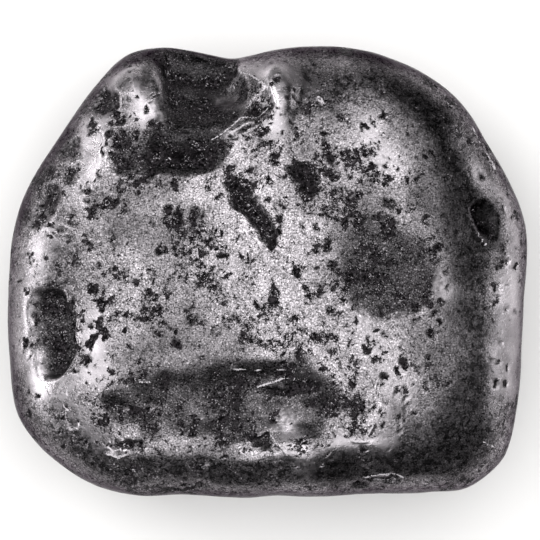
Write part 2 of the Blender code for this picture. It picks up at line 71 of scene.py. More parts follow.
# The pillow.
GIRDLE_HEIGHT = 9.0  # where the stone is widest
REST_SINK = 0.16  # how far the pillow reaches below the face that it rests on
CROWN_BOXINESS = 2.9
CROWN_WALL_BOXINESS = 2.25
BASE_BOXINESS = 2.7
BASE_WALL_BOXINESS = 2.1
BASE_SHARE = 0.4  # how much of the sides' gain the underside takes
SIDE_BOXINESS = [  # what both kinds of boxiness gain at an azimuth, in degrees
    (0, 0.0), (40, 0.7), (62, 0.6), (77, 0.2), (88, 0.9), (100, 0.5), (127, 1.0), (152, 0.6), (175, 0.35),
    (225, 1.4), (240, 2.1), (250, 2.2), (262, 2.9), (280, 2.9), (298, 1.2), (318, -0.1),
]
PROFILE_SAMPLES = 1500
FLAT_SNAP = 0.004  # corners nearer than this to the resting face lie on it

# The net: squares on the patch over the crown, rows below it, and half as many columns below the girdle.
PATCH_COLUMNS = 232
PATCH_ROWS = 200
SHOULDER_ROWS = 34
FLANK_ROWS = 18
PATCH_SPREAD = 0.32  # widens the squares near the poles and narrows those near the girdle

# Unevenness, each with its height and its length.
SWELL = (0.16, 5.5)
RIPPLE = (0.035, 1.7)
EDGE_WANDER = (0.28, 1.3)  # of the hollows' edges
FINE_WANDER = (0.35, 0.35)  # of the small pits' edges
RAGGED_WANDER = (0.26, 0.4)  # of the edges of narrow walls and of dull and crumbled rock, on top of that
NARROW_WALL = 1.0  # patches with no wall as wide as this have ragged edges
WANDER_SEED = 1  # keeps the wandering the same from run to run

# The outline seen from above, anticlockwise from +X.
OUTLINE = [
    (16.0, 0.6), (15.85, 2.85), (14.9, 5.45), (13.6, 7.85), (12.15, 10.2), (10.1, 12.0), (7.6, 13.15),
    (5.1, 13.75), (2.5, 13.9), (0.0, 13.6), (-1.1, 13.35), (-2.2, 13.2), (-3.55, 13.45), (-5.0, 13.75),
    (-6.5, 13.85), (-7.8, 13.65), (-8.8, 13.2), (-10.0, 12.0), (-11.7, 9.9), (-13.2, 7.7),
    (-14.6, 5.4), (-15.6, 2.8), (-15.9, 0.0), (-16.0, -2.4), (-15.75, -5.75), (-15.3, -8.6),
    (-14.65, -9.9), (-13.4, -11.3), (-11.6, -12.65), (-10.3, -13.25), (-7.9, -13.8), (-4.8, -13.75),
    (-1.1, -13.9), (1.1, -13.75), (5.7, -13.7), (10.0, -13.6), (11.9, -13.45), (13.1, -12.85),
    (14.3, -11.75), (14.85, -10.7), (15.35, -8.5), (15.6, -4.8), (15.8, -2.0),
]

# Patches of the upper side: how deep, how dull and how crumbled each is, then its convex outline of
# corners (x, y, width of the wall that follows). Dull rock is rougher and also darker, which is partly
# painted shade in the hollows; some patches with no depth are painted shade or flecks only. The skin
# swells where depth is minus.
PATCHES = {
    "shoulder right of the scoop": (-0.4, 0.0, 0.1, [
        (-1.2, 12.4, 1.3), (-0.4, 13.3, 0.8), (1.5, 13.3, 1.4), (2.5, 11.8, 1.4), (2.1, 9.4, 1.4),
        (0.8, 8.6, 1.4), (-0.6, 10.2, 1.4),
    ]),
    "knob left of the scoop": (-0.35, 0.0, 0.0, [
        (-10.6, 11.2, 1.2), (-9.4, 12.8, 1.0), (-7.4, 13.4, 1.0), (-6.9, 10.2, 1.6), (-8.0, 9.0, 1.6),
        (-10.2, 9.8, 1.6),
    ]),
    "lower swell": (-0.2, 0.0, 0.0, [
        (-10.2, -10.6, 2.2), (-8.4, -8.8, 2.2), (-1.7, -8.7, 2.2), (6.9, -8.3, 2.2), (8.8, -10.2, 2.2),
        (7.8, -12.2, 1.8), (1.4, -13.0, 1.8), (-8.4, -12.8, 2.2),
    ]),
    "edge scoop": (1.5, 0.7, 0.12, [
        (-7.5, 12.9, 1.3), (-7.1, 10.8, 1.6), (-6.8, 8.0, 4.2), (-3.7, 6.9, 4.2), (-1.6, 7.8, 3.0),
        (-0.3, 9.8, 1.8), (-0.5, 11.4, 1.5), (-1.4, 12.9, 0.7), (-2.0, 13.7, 0.5), (-7.0, 14.1, 0.5),
    ]),
    "pocket under the ridge": (0.8, 0.95, 0.35, [
        (-8.1, 7.6, 1.2), (-7.6, 9.0, 2.4), (-3.9, 9.2, 1.6), (-1.4, 9.3, 0.7), (-1.6, 7.7, 1.2),
        (-2.9, 5.9, 1.6), (-5.0, 5.2, 1.8), (-7.1, 5.6, 1.8), (-8.3, 6.5, 1.2),
    ]),
    "neck between scoop and pocket": (0.2, 0.9, 0.3, [
        (-7.3, 10.4, 1.0), (-7.6, 7.8, 1.0), (-3.0, 7.4, 1.0), (-1.4, 8.6, 1.0), (-0.8, 10.2, 1.4),
        (-3.5, 12.2, 1.4), (-6.6, 12.0, 1.0),
    ]),
    # No depth: painted shade and crumbled rock in the pocket's middle.
    "pocket's black heart": (0.0, 0.9, 0.75, [
        (-7.5, 7.7, 0.9), (-7.1, 6.5, 0.9), (-4.6, 6.1, 0.9), (-2.7, 6.7, 0.9), (-2.9, 7.9, 0.9),
        (-5.0, 8.4, 0.9),
    ]),
    "pocket's shallow end": (0.3, 0.7, 0.4, [
        (-10.3, 7.7, 1.2), (-9.6, 8.8, 1.2), (-6.8, 8.9, 0.8), (-6.2, 7.4, 0.6), (-6.6, 5.0, 1.2),
        (-9.6, 5.6, 1.2),
    ]),
    "strip under the ridge": (0.3, 0.6, 0.5, [
        (-3.8, 7.9, 0.25), (-1.2, 9.0, 0.25), (-0.3, 9.7, 0.2), (-0.1, 9.3, 0.5), (-1.9, 7.7, 0.5),
        (-3.3, 7.2, 0.3),
    ]),
    "ridge's crumbled end": (0.25, 0.35, 0.5, [
        (-1.6, 9.7, 0.5), (-1.0, 10.7, 0.5), (0.4, 11.2, 0.5), (0.7, 10.0, 0.5), (-0.2, 9.1, 0.5),
        (-1.2, 9.1, 0.5),
    ]),
    "upper left flank": (0.12, 0.6, 0.1, [
        (-14.4, 3.4, 0.9), (-12.3, 7.3, 0.9), (-9.4, 12.0, 0.9), (-8.6, 14.3, 0.5), (-10.0, 14.3, 0.5),
        (-15.9, 4.0, 0.5),
    ]),
    "round dent": (0.35, 0.9, 0.1, [
        (-10.9, 10.5, 0.6), (-10.1, 11.5, 0.6), (-8.9, 11.4, 0.6), (-8.6, 10.2, 0.6), (-9.3, 9.4, 0.6),
        (-10.7, 9.5, 0.6),
    ]),
    "upper edge facet": (0.35, 0.8, 0.1, [
        (-13.0, 6.9, 0.6), (-12.5, 8.3, 0.6), (-11.4, 8.7, 0.6), (-11.2, 7.8, 0.6), (-12.2, 6.4, 0.6),
    ]),
    "edge crescent": (0.2, 0.6, 0.1, [
        (-13.6, 5.8, 0.3), (-13.3, 7.2, 0.3), (-12.8, 6.8, 0.3), (-13.0, 5.9, 0.3),
    ]),
    "crumbled facet": (0.15, 0.4, 0.35, [
        (-12.6, 6.1, 0.5), (-11.8, 6.8, 0.5), (-11.2, 6.1, 0.5), (-11.7, 5.2, 0.5), (-12.5, 5.4, 0.5),
    ]),
    "lower edge scallop": (0.3, 0.75, 0.15, [
        (-15.0, 2.3, 1.2), (-14.3, 5.1, 1.0), (-13.4, 6.0, 0.9), (-12.3, 5.4, 0.9), (-12.4, 3.7, 0.9),
        (-13.6, 2.5, 0.6),
    ]),
    "mottled hollow": (0.2, 0.4, 0.14, [
        (-7.6, 2.9, 1.6), (-6.1, 4.8, 1.6), (-3.6, 4.8, 1.6), (-2.8, 2.8, 1.6), (-3.9, 0.7, 1.6),
        (-6.2, 0.5, 1.6),
    ]),
    "slanted groove": (0.55, 0.8, 0.6, [
        (-2.6, 5.3, 0.4), (-1.7, 5.8, 0.35), (-0.9, 5.0, 0.35), (0.0, 3.5, 0.35), (0.8, 1.9, 0.35),
        (0.5, 1.2, 0.4), (-0.8, 2.2, 0.4), (-1.9, 3.7, 0.4),
    ]),
    "crown pit": (0.5, 0.9, 0.6, [
        (1.1, 6.2, 0.6), (1.6, 6.9, 0.6), (2.6, 6.7, 0.5), (3.3, 5.5, 0.5), (3.1, 4.6, 0.5),
        (2.3, 4.3, 0.5), (1.6, 5.1, 0.5),
    ]),
    "saddle": (0.2, 0.5, 0.25, [
        (2.8, 8.4, 0.8), (3.6, 9.0, 0.8), (4.5, 7.7, 0.8), (4.7, 6.1, 0.8), (4.1, 5.4, 0.8), (3.5, 6.1, 0.8),
    ]),
    "shallow basin": (0.2, 0.95, 0.16, [
        (3.6, -0.4, 2.0), (3.4, 2.0, 2.6), (4.6, 4.4, 2.8), (7.4, 4.8, 2.6), (9.8, 3.4, 2.2),
        (11.2, 0.8, 1.6), (10.7, -1.9, 1.2), (8.6, -3.0, 1.2), (5.4, -3.0, 1.4),
    ]),
    # No depth: painted shade in the basin's middle.
    "basin's dark middle": (0.0, 0.8, 0.1, [
        (4.2, -0.6, 1.6), (4.8, 2.2, 2.0), (7.6, 3.4, 2.0), (10.6, 0.8, 1.2), (10.4, -1.8, 1.0),
        (8.4, -3.2, 1.0), (5.4, -3.3, 1.4),
    ]),
    "edge pit": (0.8, 0.9, 0.3, [
        (12.1, 3.8, 0.8), (12.6, 4.8, 0.9), (13.4, 4.9, 1.3), (14.2, 3.8, 1.4), (14.5, 2.4, 1.3),
        (13.9, 1.4, 1.1), (13.0, 1.9, 0.8), (12.3, 2.9, 0.6),
    ]),
    "rim groove": (0.3, 0.6, 0.2, [
        (12.7, 8.8, 0.2), (13.0, 8.9, 0.2), (13.6, 7.7, 0.2), (14.2, 6.5, 0.2), (14.1, 6.2, 0.2),
        (13.3, 7.4, 0.2),
    ]),
    "side pit": (1.1, 1.0, 0.4, [
        (-15.3, -2.9, 2.2), (-15.3, -1.5, 1.5), (-14.4, -0.5, 0.9), (-12.9, -0.6, 0.7), (-12.1, -1.4, 0.6),
        (-11.5, -2.8, 0.6), (-11.3, -3.9, 0.6), (-11.5, -5.1, 0.6), (-12.1, -6.1, 0.6), (-12.8, -6.7, 0.6),
        (-13.7, -6.8, 0.9), (-14.5, -6.2, 2.0),
    ]),
    # No depth: painted shade on the side pit's left wall, which faces the light.
    "side pit's left wall": (0.0, 0.9, 0.3, [
        (-14.8, -3.0, 0.9), (-14.8, -1.7, 0.8), (-14.1, -0.8, 0.6), (-12.6, -0.8, 0.6), (-12.8, -6.5, 0.6),
        (-13.9, -6.5, 0.8),
    ]),
    "long trough": (0.8, 0.65, 0.08, [
        (-11.5, -7.9, 3.0), (-9.8, -5.6, 4.2), (-7.2, -4.3, 4.0), (-2.6, -3.8, 3.4), (2.6, -4.1, 3.0),
        (4.7, -6.2, 2.0), (5.3, -8.4, 2.0), (4.6, -10.6, 2.4), (2.0, -11.6, 3.2), (-4.1, -11.6, 3.2),
        (-8.6, -11.0, 2.2), (-11.1, -9.3, 2.2),
    ]),
    "trough's dull floor": (0.0, 0.45, 0.05, [
        (-11.2, -7.2, 2.6), (-9.4, -5.4, 2.6), (-4.1, -4.6, 1.8), (3.8, -4.8, 1.6), (4.8, -6.9, 1.4),
        (4.2, -9.2, 1.4), (2.0, -10.4, 1.4), (-9.6, -10.6, 1.6), (-11.2, -9.3, 2.4),
    ]),
    # Shallow: mostly painted shade in the trough.
    "trough's dark wall": (0.15, 0.65, 0.12, [
        (-4.2, -6.3, 2.0), (-3.2, -4.7, 2.0), (-0.2, -4.4, 2.0), (3.4, -4.8, 1.6), (3.9, -6.5, 1.4),
        (2.0, -7.6, 1.6), (-0.3, -8.0, 1.6), (-3.0, -7.8, 1.6),
    ]),
    "trough's left hollow": (0.35, 0.3, 0.08, [
        (-10.8, -7.9, 1.5), (-9.8, -6.6, 1.5), (-8.5, -6.8, 1.5), (-8.0, -8.5, 1.5), (-8.8, -10.0, 1.5),
        (-10.4, -9.4, 1.5),
    ]),
    "trough's second ledge": (0.25, 0.6, 0.5, [
        (-0.7, -7.6, 0.3), (-0.2, -7.1, 0.25), (1.6, -6.8, 0.25), (3.4, -6.8, 0.3), (3.3, -7.4, 0.4),
        (1.4, -7.7, 0.4),
    ]),
    "trough's crumbled end": (0.1, 0.1, 0.28, [
        (0.8, -7.5, 1.2), (3.8, -6.9, 1.2), (6.5, -7.4, 1.2), (7.2, -9.6, 1.2), (5.0, -10.8, 1.2),
        (2.6, -9.1, 1.2),
    ]),
    "chip below the trough": (0.4, 0.6, 0.3, [
        (-1.2, -10.2, 0.3), (0.3, -9.7, 0.3), (0.8, -10.6, 0.25), (1.1, -11.3, 0.8), (-0.3, -11.2, 0.8),
    ]),
    "crack left of the trough": (0.25, 0.7, 0.5, [
        (-10.0, -11.0, 0.2), (-9.5, -10.6, 0.2), (-7.4, -10.1, 0.2), (-7.3, -10.4, 0.2),
        (-8.6, -10.9, 0.2),
    ]),
    "streak over the lower edge": (0.06, 0.4, 0.2, [
        (-8.6, -11.5, 0.2), (-8.1, -11.3, 0.2), (-7.9, -13.0, 0.2), (-8.3, -13.1, 0.2),
    ]),
    "lens pit on the lower edge": (0.45, 0.9, 0.8, [
        (5.9, -12.7, 0.2), (6.6, -12.3, 0.2), (7.8, -12.3, 0.2), (8.4, -12.6, 0.2), (7.7, -12.8, 0.2),
        (6.6, -12.8, 0.2),
    ]),
    "pit beside the lens pit": (0.25, 0.7, 0.6, [
        (5.0, -12.7, 0.2), (5.6, -12.6, 0.2), (6.5, -13.2, 0.2), (5.8, -13.3, 0.2),
    ]),
    "chip on the lower edge": (0.25, 0.6, 0.3, [
        (-5.8, -13.1, 0.3), (-5.0, -12.7, 0.3), (-3.8, -12.7, 0.3), (-3.1, -13.2, 0.3), (-4.7, -13.4, 0.3),
    ]),
    "crumbled patch by the lower edge": (0.12, 0.3, 0.35, [
        (-5.1, -11.6, 0.5), (-3.9, -11.0, 0.5), (-3.1, -11.7, 0.5), (-4.1, -12.3, 0.5),
    ]),
    "flecks on the upper right sheen": (0.0, 0.0, 0.17, [
        (3.6, 8.6, 1.2), (5.8, 9.4, 1.2), (8.0, 8.2, 1.2), (8.3, 5.6, 1.2), (6.0, 5.0, 1.2),
        (3.8, 6.0, 1.2),
    ]),
    "flecks below the spur": (0.0, 0.0, 0.16, [
        (-0.8, 12.4, 0.8), (1.4, 12.2, 0.8), (1.4, 8.4, 0.8), (-0.6, 8.4, 0.8),
    ]),
    "flecks at the trough's bright end": (0.0, 0.0, 0.22, [
        (0.3, -9.3, 0.8), (2.2, -9.2, 0.8), (3.0, -11.2, 0.8), (1.6, -11.6, 0.8),
    ]),
    "flecks on the right rim": (0.0, 0.0, 0.15, [
        (13.4, 1.4, 0.8), (15.2, 1.2, 0.8), (15.4, -5.2, 0.8), (13.8, -5.0, 0.8),
    ]),
}

# Strokes of painted highlight, or of painted shade where minus, which also even out the speckle and
# thin out the flecks as polishing does: how often the brightness doubles on the line, how far it
# reaches to each side, and the line of (x, y).
POLISH_AND_PAINTED_LIGHT = {
    "left rim": (0.75, 1.7, [
        (-13.4, 2.8), (-14.2, 0.8), (-14.7, -1.4), (-15.0, -3.6), (-14.7, -5.5), (-13.7, -6.9),
    ]),
    "ridge round the side pit's end": (0.8, 1.1, [(-14.0, -6.5), (-12.7, -7.4), (-11.1, -6.5)]),
    "lower left ridge": (1.0, 1.2, [(-12.9, -7.0), (-11.5, -8.9), (-10.2, -10.5), (-8.4, -11.0)]),
    "right of the side pit": (1.15, 1.5, [(-10.8, -2.8), (-10.5, -3.8), (-10.4, -5.4), (-10.2, -6.2)]),
    "beside the side pit's end": (0.4, 0.9, [(-10.5, -3.6), (-10.6, -4.8)]),
    "knob left of the scoop": (1.2, 1.7, [(-9.3, 11.6), (-8.2, 12.0), (-7.7, 11.0), (-7.1, 9.8)]),
    "knob's top": (0.5, 0.9, [(-8.7, 12.2), (-7.7, 11.9)]),
    "below the knob": (0.6, 1.3, [(-9.4, 9.6), (-7.8, 9.3)]),
    "strip under the round dent": (1.0, 0.8, [(-9.9, 9.1), (-10.3, 7.4), (-10.6, 5.9)]),
    "strip's foot": (0.6, 1.4, [(-10.9, 8.6), (-11.4, 4.2)]),
    "left of the strip": (0.8, 1.2, [(-11.1, 9.2), (-10.8, 8.2)]),
    "right of the ridge": (0.65, 1.4, [(-2.4, 11.2), (-1.6, 9.4), (-2.6, 8.0)]),
    "spur right of the notch": (0.8, 1.1, [(-1.7, 12.9), (-0.3, 12.2), (0.7, 11.4)]),
    "spur's foot": (1.25, 1.5, [(0.3, 12.0), (0.4, 9.0)]),
    "right of the pocket": (0.4, 1.1, [(-1.5, 7.0), (-1.2, 8.2)]),
    "left of the groove's foot": (0.55, 1.2, [(-2.0, 0.6), (-2.2, -0.6)]),
    "below the groove's foot": (-0.25, 1.0, [(0.2, 0.8), (0.4, -0.6)]),
    "upper right sheen": (0.85, 2.6, [(5.9, 8.6), (6.7, 7.2), (7.4, 5.6)]),
    "left of the upper right sheen": (0.45, 1.5, [(4.4, 7.6), (5.0, 6.2)]),
    "right rim": (1.1, 1.2, [(14.4, -0.6), (14.6, -2.9), (14.4, -5.4), (14.2, -6.9)]),
    "right rim's edge": (0.9, 0.8, [(14.9, 1.6), (15.2, -0.8), (15.4, -4.1), (15.1, -7.4)]),
    "rim by the edge pit": (0.9, 0.8, [(12.6, 6.4), (13.2, 5.5), (14.5, 4.2), (15.2, 2.2)]),
    "edge pit's floor": (-2.9, 1.5, [(12.9, 4.1), (13.4, 2.9), (13.6, 2.3)]),
    "spot beside the basin": (1.0, 1.0, [(10.3, -0.3), (10.9, -1.3)]),
    "lower right sheen": (0.6, 2.2, [(5.8, -3.4), (7.3, -5.7), (7.8, -7.8), (7.3, -9.2)]),
    "trough's bright end": (1.15, 1.1, [(0.9, -9.1), (1.9, -10.5), (2.5, -12.0)]),
    "trough's right end": (0.5, 1.2, [(1.4, -6.6), (3.4, -6.2)]),
    "streak right of the bright end": (0.9, 0.8, [(4.4, -10.2), (5.2, -10.7), (6.3, -10.6), (7.6, -10.4)]),
    "trough's lower lip": (0.6, 0.9, [(1.0, -11.2), (2.4, -11.1), (4.3, -10.7), (7.2, -10.8)]),
    "upper right shoulder": (-1.1, 1.5, [(6.2, 12.8), (8.7, 11.1), (10.4, 8.8)]),
    "right shoulder": (-1.6, 1.7, [(10.9, 7.0), (11.4, 5.0), (11.7, 2.6), (12.1, 0.4)]),
    "corner's shoulder": (-0.5, 1.8, [(12.6, -6.4), (11.6, -8.7), (9.9, -10.6)]),
    "above the corner": (-0.5, 1.1, [(11.4, -8.0), (11.0, -9.2)]),
    "scoop's back": (-1.2, 1.0, [(-6.8, 13.1), (-4.3, 13.2), (-2.6, 12.7)]),
    "scoop's middle": (0.6, 0.7, [(-6.5, 11.9), (-4.5, 12.0), (-2.8, 11.6)]),
    "between scoop and pocket": (-1.0, 0.9, [(-6.8, 8.5), (-4.8, 8.3), (-3.4, 8.3)]),
    "edge behind the scoop": (-1.2, 0.9, [(-9.2, 12.5), (-7.2, 13.5), (-4.1, 13.5), (-2.3, 13.2)]),
    "upper edge": (-1.0, 0.9, [(1.9, 13.6), (4.6, 13.6), (7.0, 13.0)]),
    "upper left edge": (-0.6, 0.9, [(-9.7, 12.0), (-11.9, 9.3), (-13.8, 5.9), (-15.0, 2.9)]),
    "left edge's notch": (-1.2, 0.6, [(-14.9, 3.6), (-14.2, 3.0)]),
    "lower left flank": (-0.3, 1.0, [(-14.9, -7.5), (-13.6, -9.6), (-11.8, -11.5), (-9.6, -12.7)]),
    "trough's soft upper end": (-0.8, 2.0, [(-8.0, -5.2), (-5.8, -4.4), (-2.4, -4.4)]),
    "trough's upper wall": (-0.6, 1.2, [
        (-8.4, -6.6), (-7.4, -6.2), (-5.6, -6.2), (-3.6, -5.6), (-0.6, -5.6),
    ]),
    "trough's upper left wall": (-0.5, 1.0, [(-7.4, -6.6), (-5.6, -6.5)]),
    "trough's floor": (0.35, 1.6, [(-4.5, -8.9), (-1.8, -9.2), (2.0, -8.8), (4.4, -8.6)]),
    "middle of the crown": (0.35, 1.7, [(-0.2, -2.2), (1.0, -1.6)]),
    "right of the left rim": (0.45, 1.4, [(-13.0, 0.6), (-12.4, 1.6), (-11.0, 2.6)]),
    "right of the spur": (0.8, 1.3, [(1.6, 12.0), (2.8, 11.2)]),
    "trough's lip on the left": (-0.6, 1.1, [(-7.6, -10.9), (-4.5, -10.8), (-2.4, -11.0)]),
    "left of the crown": (-0.6, 2.2, [(-6.0, 0.2), (-5.4, -2.0), (-6.2, -4.4)]),
    "above the trough's middle": (-0.45, 1.2, [(-4.6, -1.5), (-4.0, -2.6)]),
    "above the trough": (-0.35, 1.6, [(-6.6, -4.0), (-3.9, -2.0)]),
    "left of the mottled hollow": (-0.8, 1.8, [(-8.8, 2.6), (-6.4, 2.2)]),
    "below the pocket's end": (-0.9, 1.9, [(-9.2, 4.6), (-7.8, 4.6), (-6.1, 5.2)]),
    "pocket's heart": (-1.3, 1.8, [(-8.4, 6.8), (-6.6, 6.9), (-5.2, 6.9), (-3.6, 7.2)]),
    "round the crown pit": (-0.8, 1.5, [(2.0, 6.9), (2.4, 4.6)]),
    "above the saddle": (-0.7, 1.7, [(4.0, 9.8), (4.6, 8.4)]),
    "left of the basin": (-0.9, 1.4, [(4.4, 2.6), (4.5, -0.2)]),
    "above the basin": (-1.0, 2.0, [(6.4, 4.6), (8.9, 4.9), (10.2, 3.5)]),
    "right of the lower sheen": (-0.7, 1.6, [(9.0, -3.8), (9.3, -5.2)]),
    "left of the right shoulder": (-0.5, 1.2, [(9.3, 5.6), (9.3, 3.4)]),
    "right shoulder's foot": (0.4, 1.3, [(11.0, -1.4), (11.2, -3.0)]),
    "beside the corner": (0.3, 1.3, [(9.0, -6.2), (8.8, -8.8)]),
}
POLISH_AND_PAINTED_LIGHT_FADE = (-0.3, 0.1)  # the upward part of the skin over which this fades in

# Crisp ridges that rise a little, each a line of (x, y), with a highlight painted along each in a pale matt
# colour.
RIDGES = {
    "ridge right of the notch": [(-1.8, 13.0), (-1.5, 12.3), (-0.7, 11.8), (-0.1, 11.2)],
    "ridge under the scoop": [(-3.4, 8.1), (-2.7, 8.4), (-2.2, 8.8), (-1.7, 9.3), (-0.8, 9.5), (0.0, 10.2)],
    "trough's ledge": [(-2.4, -5.8), (-1.9, -5.9), (-1.2, -5.95)],
    "ledge's middle": [(-0.8, -6.0), (-0.3, -6.1)],
    "ledge's right end": [(0.2, -6.1), (1.3, -6.0), (2.2, -6.2)],
    "ledge's left end": [(-7.7, -6.7), (-7.2, -6.6)],
    "second ledge's lip": [(-0.6, -7.3), (0.2, -6.8), (1.0, -6.6), (2.2, -6.8)],
    "chip's edge": [(0.3, -9.8), (0.8, -10.6), (1.2, -11.3)],
    "crack's lip": [(-9.7, -11.2), (-9.1, -11.2), (-8.4, -11.0)],
    "edge pit's rim": [(12.7, 2.5), (13.1, 2.0), (13.6, 1.5)],
    "lens pit's rim": [(5.8, -12.5), (6.9, -12.2), (8.0, -12.3), (8.4, -12.6)],
    "rim groove's lip": [(12.5, 8.8), (13.1, 7.7), (13.9, 6.3)],
    "upper scratch": [(3.1, 10.7), (3.4, 10.2)],
    "corner scratch": [(13.3, -10.2), (13.9, -10.6)],
    "streak in the trough's end": [(4.2, -9.5), (5.2, -10.4), (6.0, -10.4)],
    "streak beside the trough's end": [(6.5, -9.3), (6.0, -10.2)],
    "streak by a pit": [(5.0, -5.5), (5.4, -6.1)],
}
RIDGE_HALF_WIDTH = 0.14
RIDGE_RISE = 0.05
EDGE_FADE = (0.1, 0.5)  # patches fade out where the skin's upward part falls from the second to the first

# Hollows of the underside, as seen through the stone from above: name, (x, y), turn in degrees, half
# length, half width, depth, how much of it is floor, lean of the floor and how dull it is, which also
# paints shade into the hollow.
BASE_HOLLOWS = [
    ("underside scoop", (8.9, 5.6), 25, 3.2, 2.1, 0.8, 0.3, 0.2, 0.6),
    ("underside pit", (-9.8, -5.9), 70, 1.9, 1.2, 0.75, 0.4, 0.0, 0.9),
    ("underside groove", (-8.4, 6.8), -30, 3.0, 0.9, 0.5, 0.3, 0.2, 0.7),
    ("underside dent", (6.6, -8.6), 10, 2.3, 1.4, 0.5, 0.3, 0.0, 0.5),
    ("underside small pit", (-1.8, 8.9), 55, 1.0, 0.7, 0.4, 0.4, 0.0, 0.9),
]

# Hollows of the flank: name, azimuth in degrees, height, turn from level, and the rest as above.
FLANK_HOLLOWS = [
    ("front flank hollow", -74, 5.6, 8, 2.9, 1.4, 0.6, 0.3, 0.0, 0.6),
    ("front flank pit", -117, 6.3, 60, 1.1, 0.8, 0.5, 0.4, 0.0, 0.9),
    ("front flank dimple", -97, 8.6, 10, 0.8, 0.5, 0.3, 0.4, 0.0, 0.9),
    ("right flank scoop", -14, 5.0, -15, 2.5, 1.4, 0.55, 0.3, 0.0, 0.6),
    ("right flank pit", 17, 6.2, 40, 0.9, 0.6, 0.4, 0.4, 0.0, 0.9),
    ("back flank hollow", 62, 5.8, 10, 2.6, 1.2, 0.55, 0.3, 0.0, 0.6),
    ("back flank pit", 128, 5.2, 40, 1.4, 0.9, 0.5, 0.4, 0.0, 0.9),
    ("back flank dimple", 96, 7.2, 0, 0.9, 0.6, 0.3, 0.4, 0.0, 0.9),
    ("left flank scoop", 197, 4.9, 20, 2.3, 1.3, 0.5, 0.3, 0.0, 0.6),
    ("left flank pit", 168, 7.0, 80, 0.8, 0.5, 0.35, 0.4, 0.0, 0.9),
]

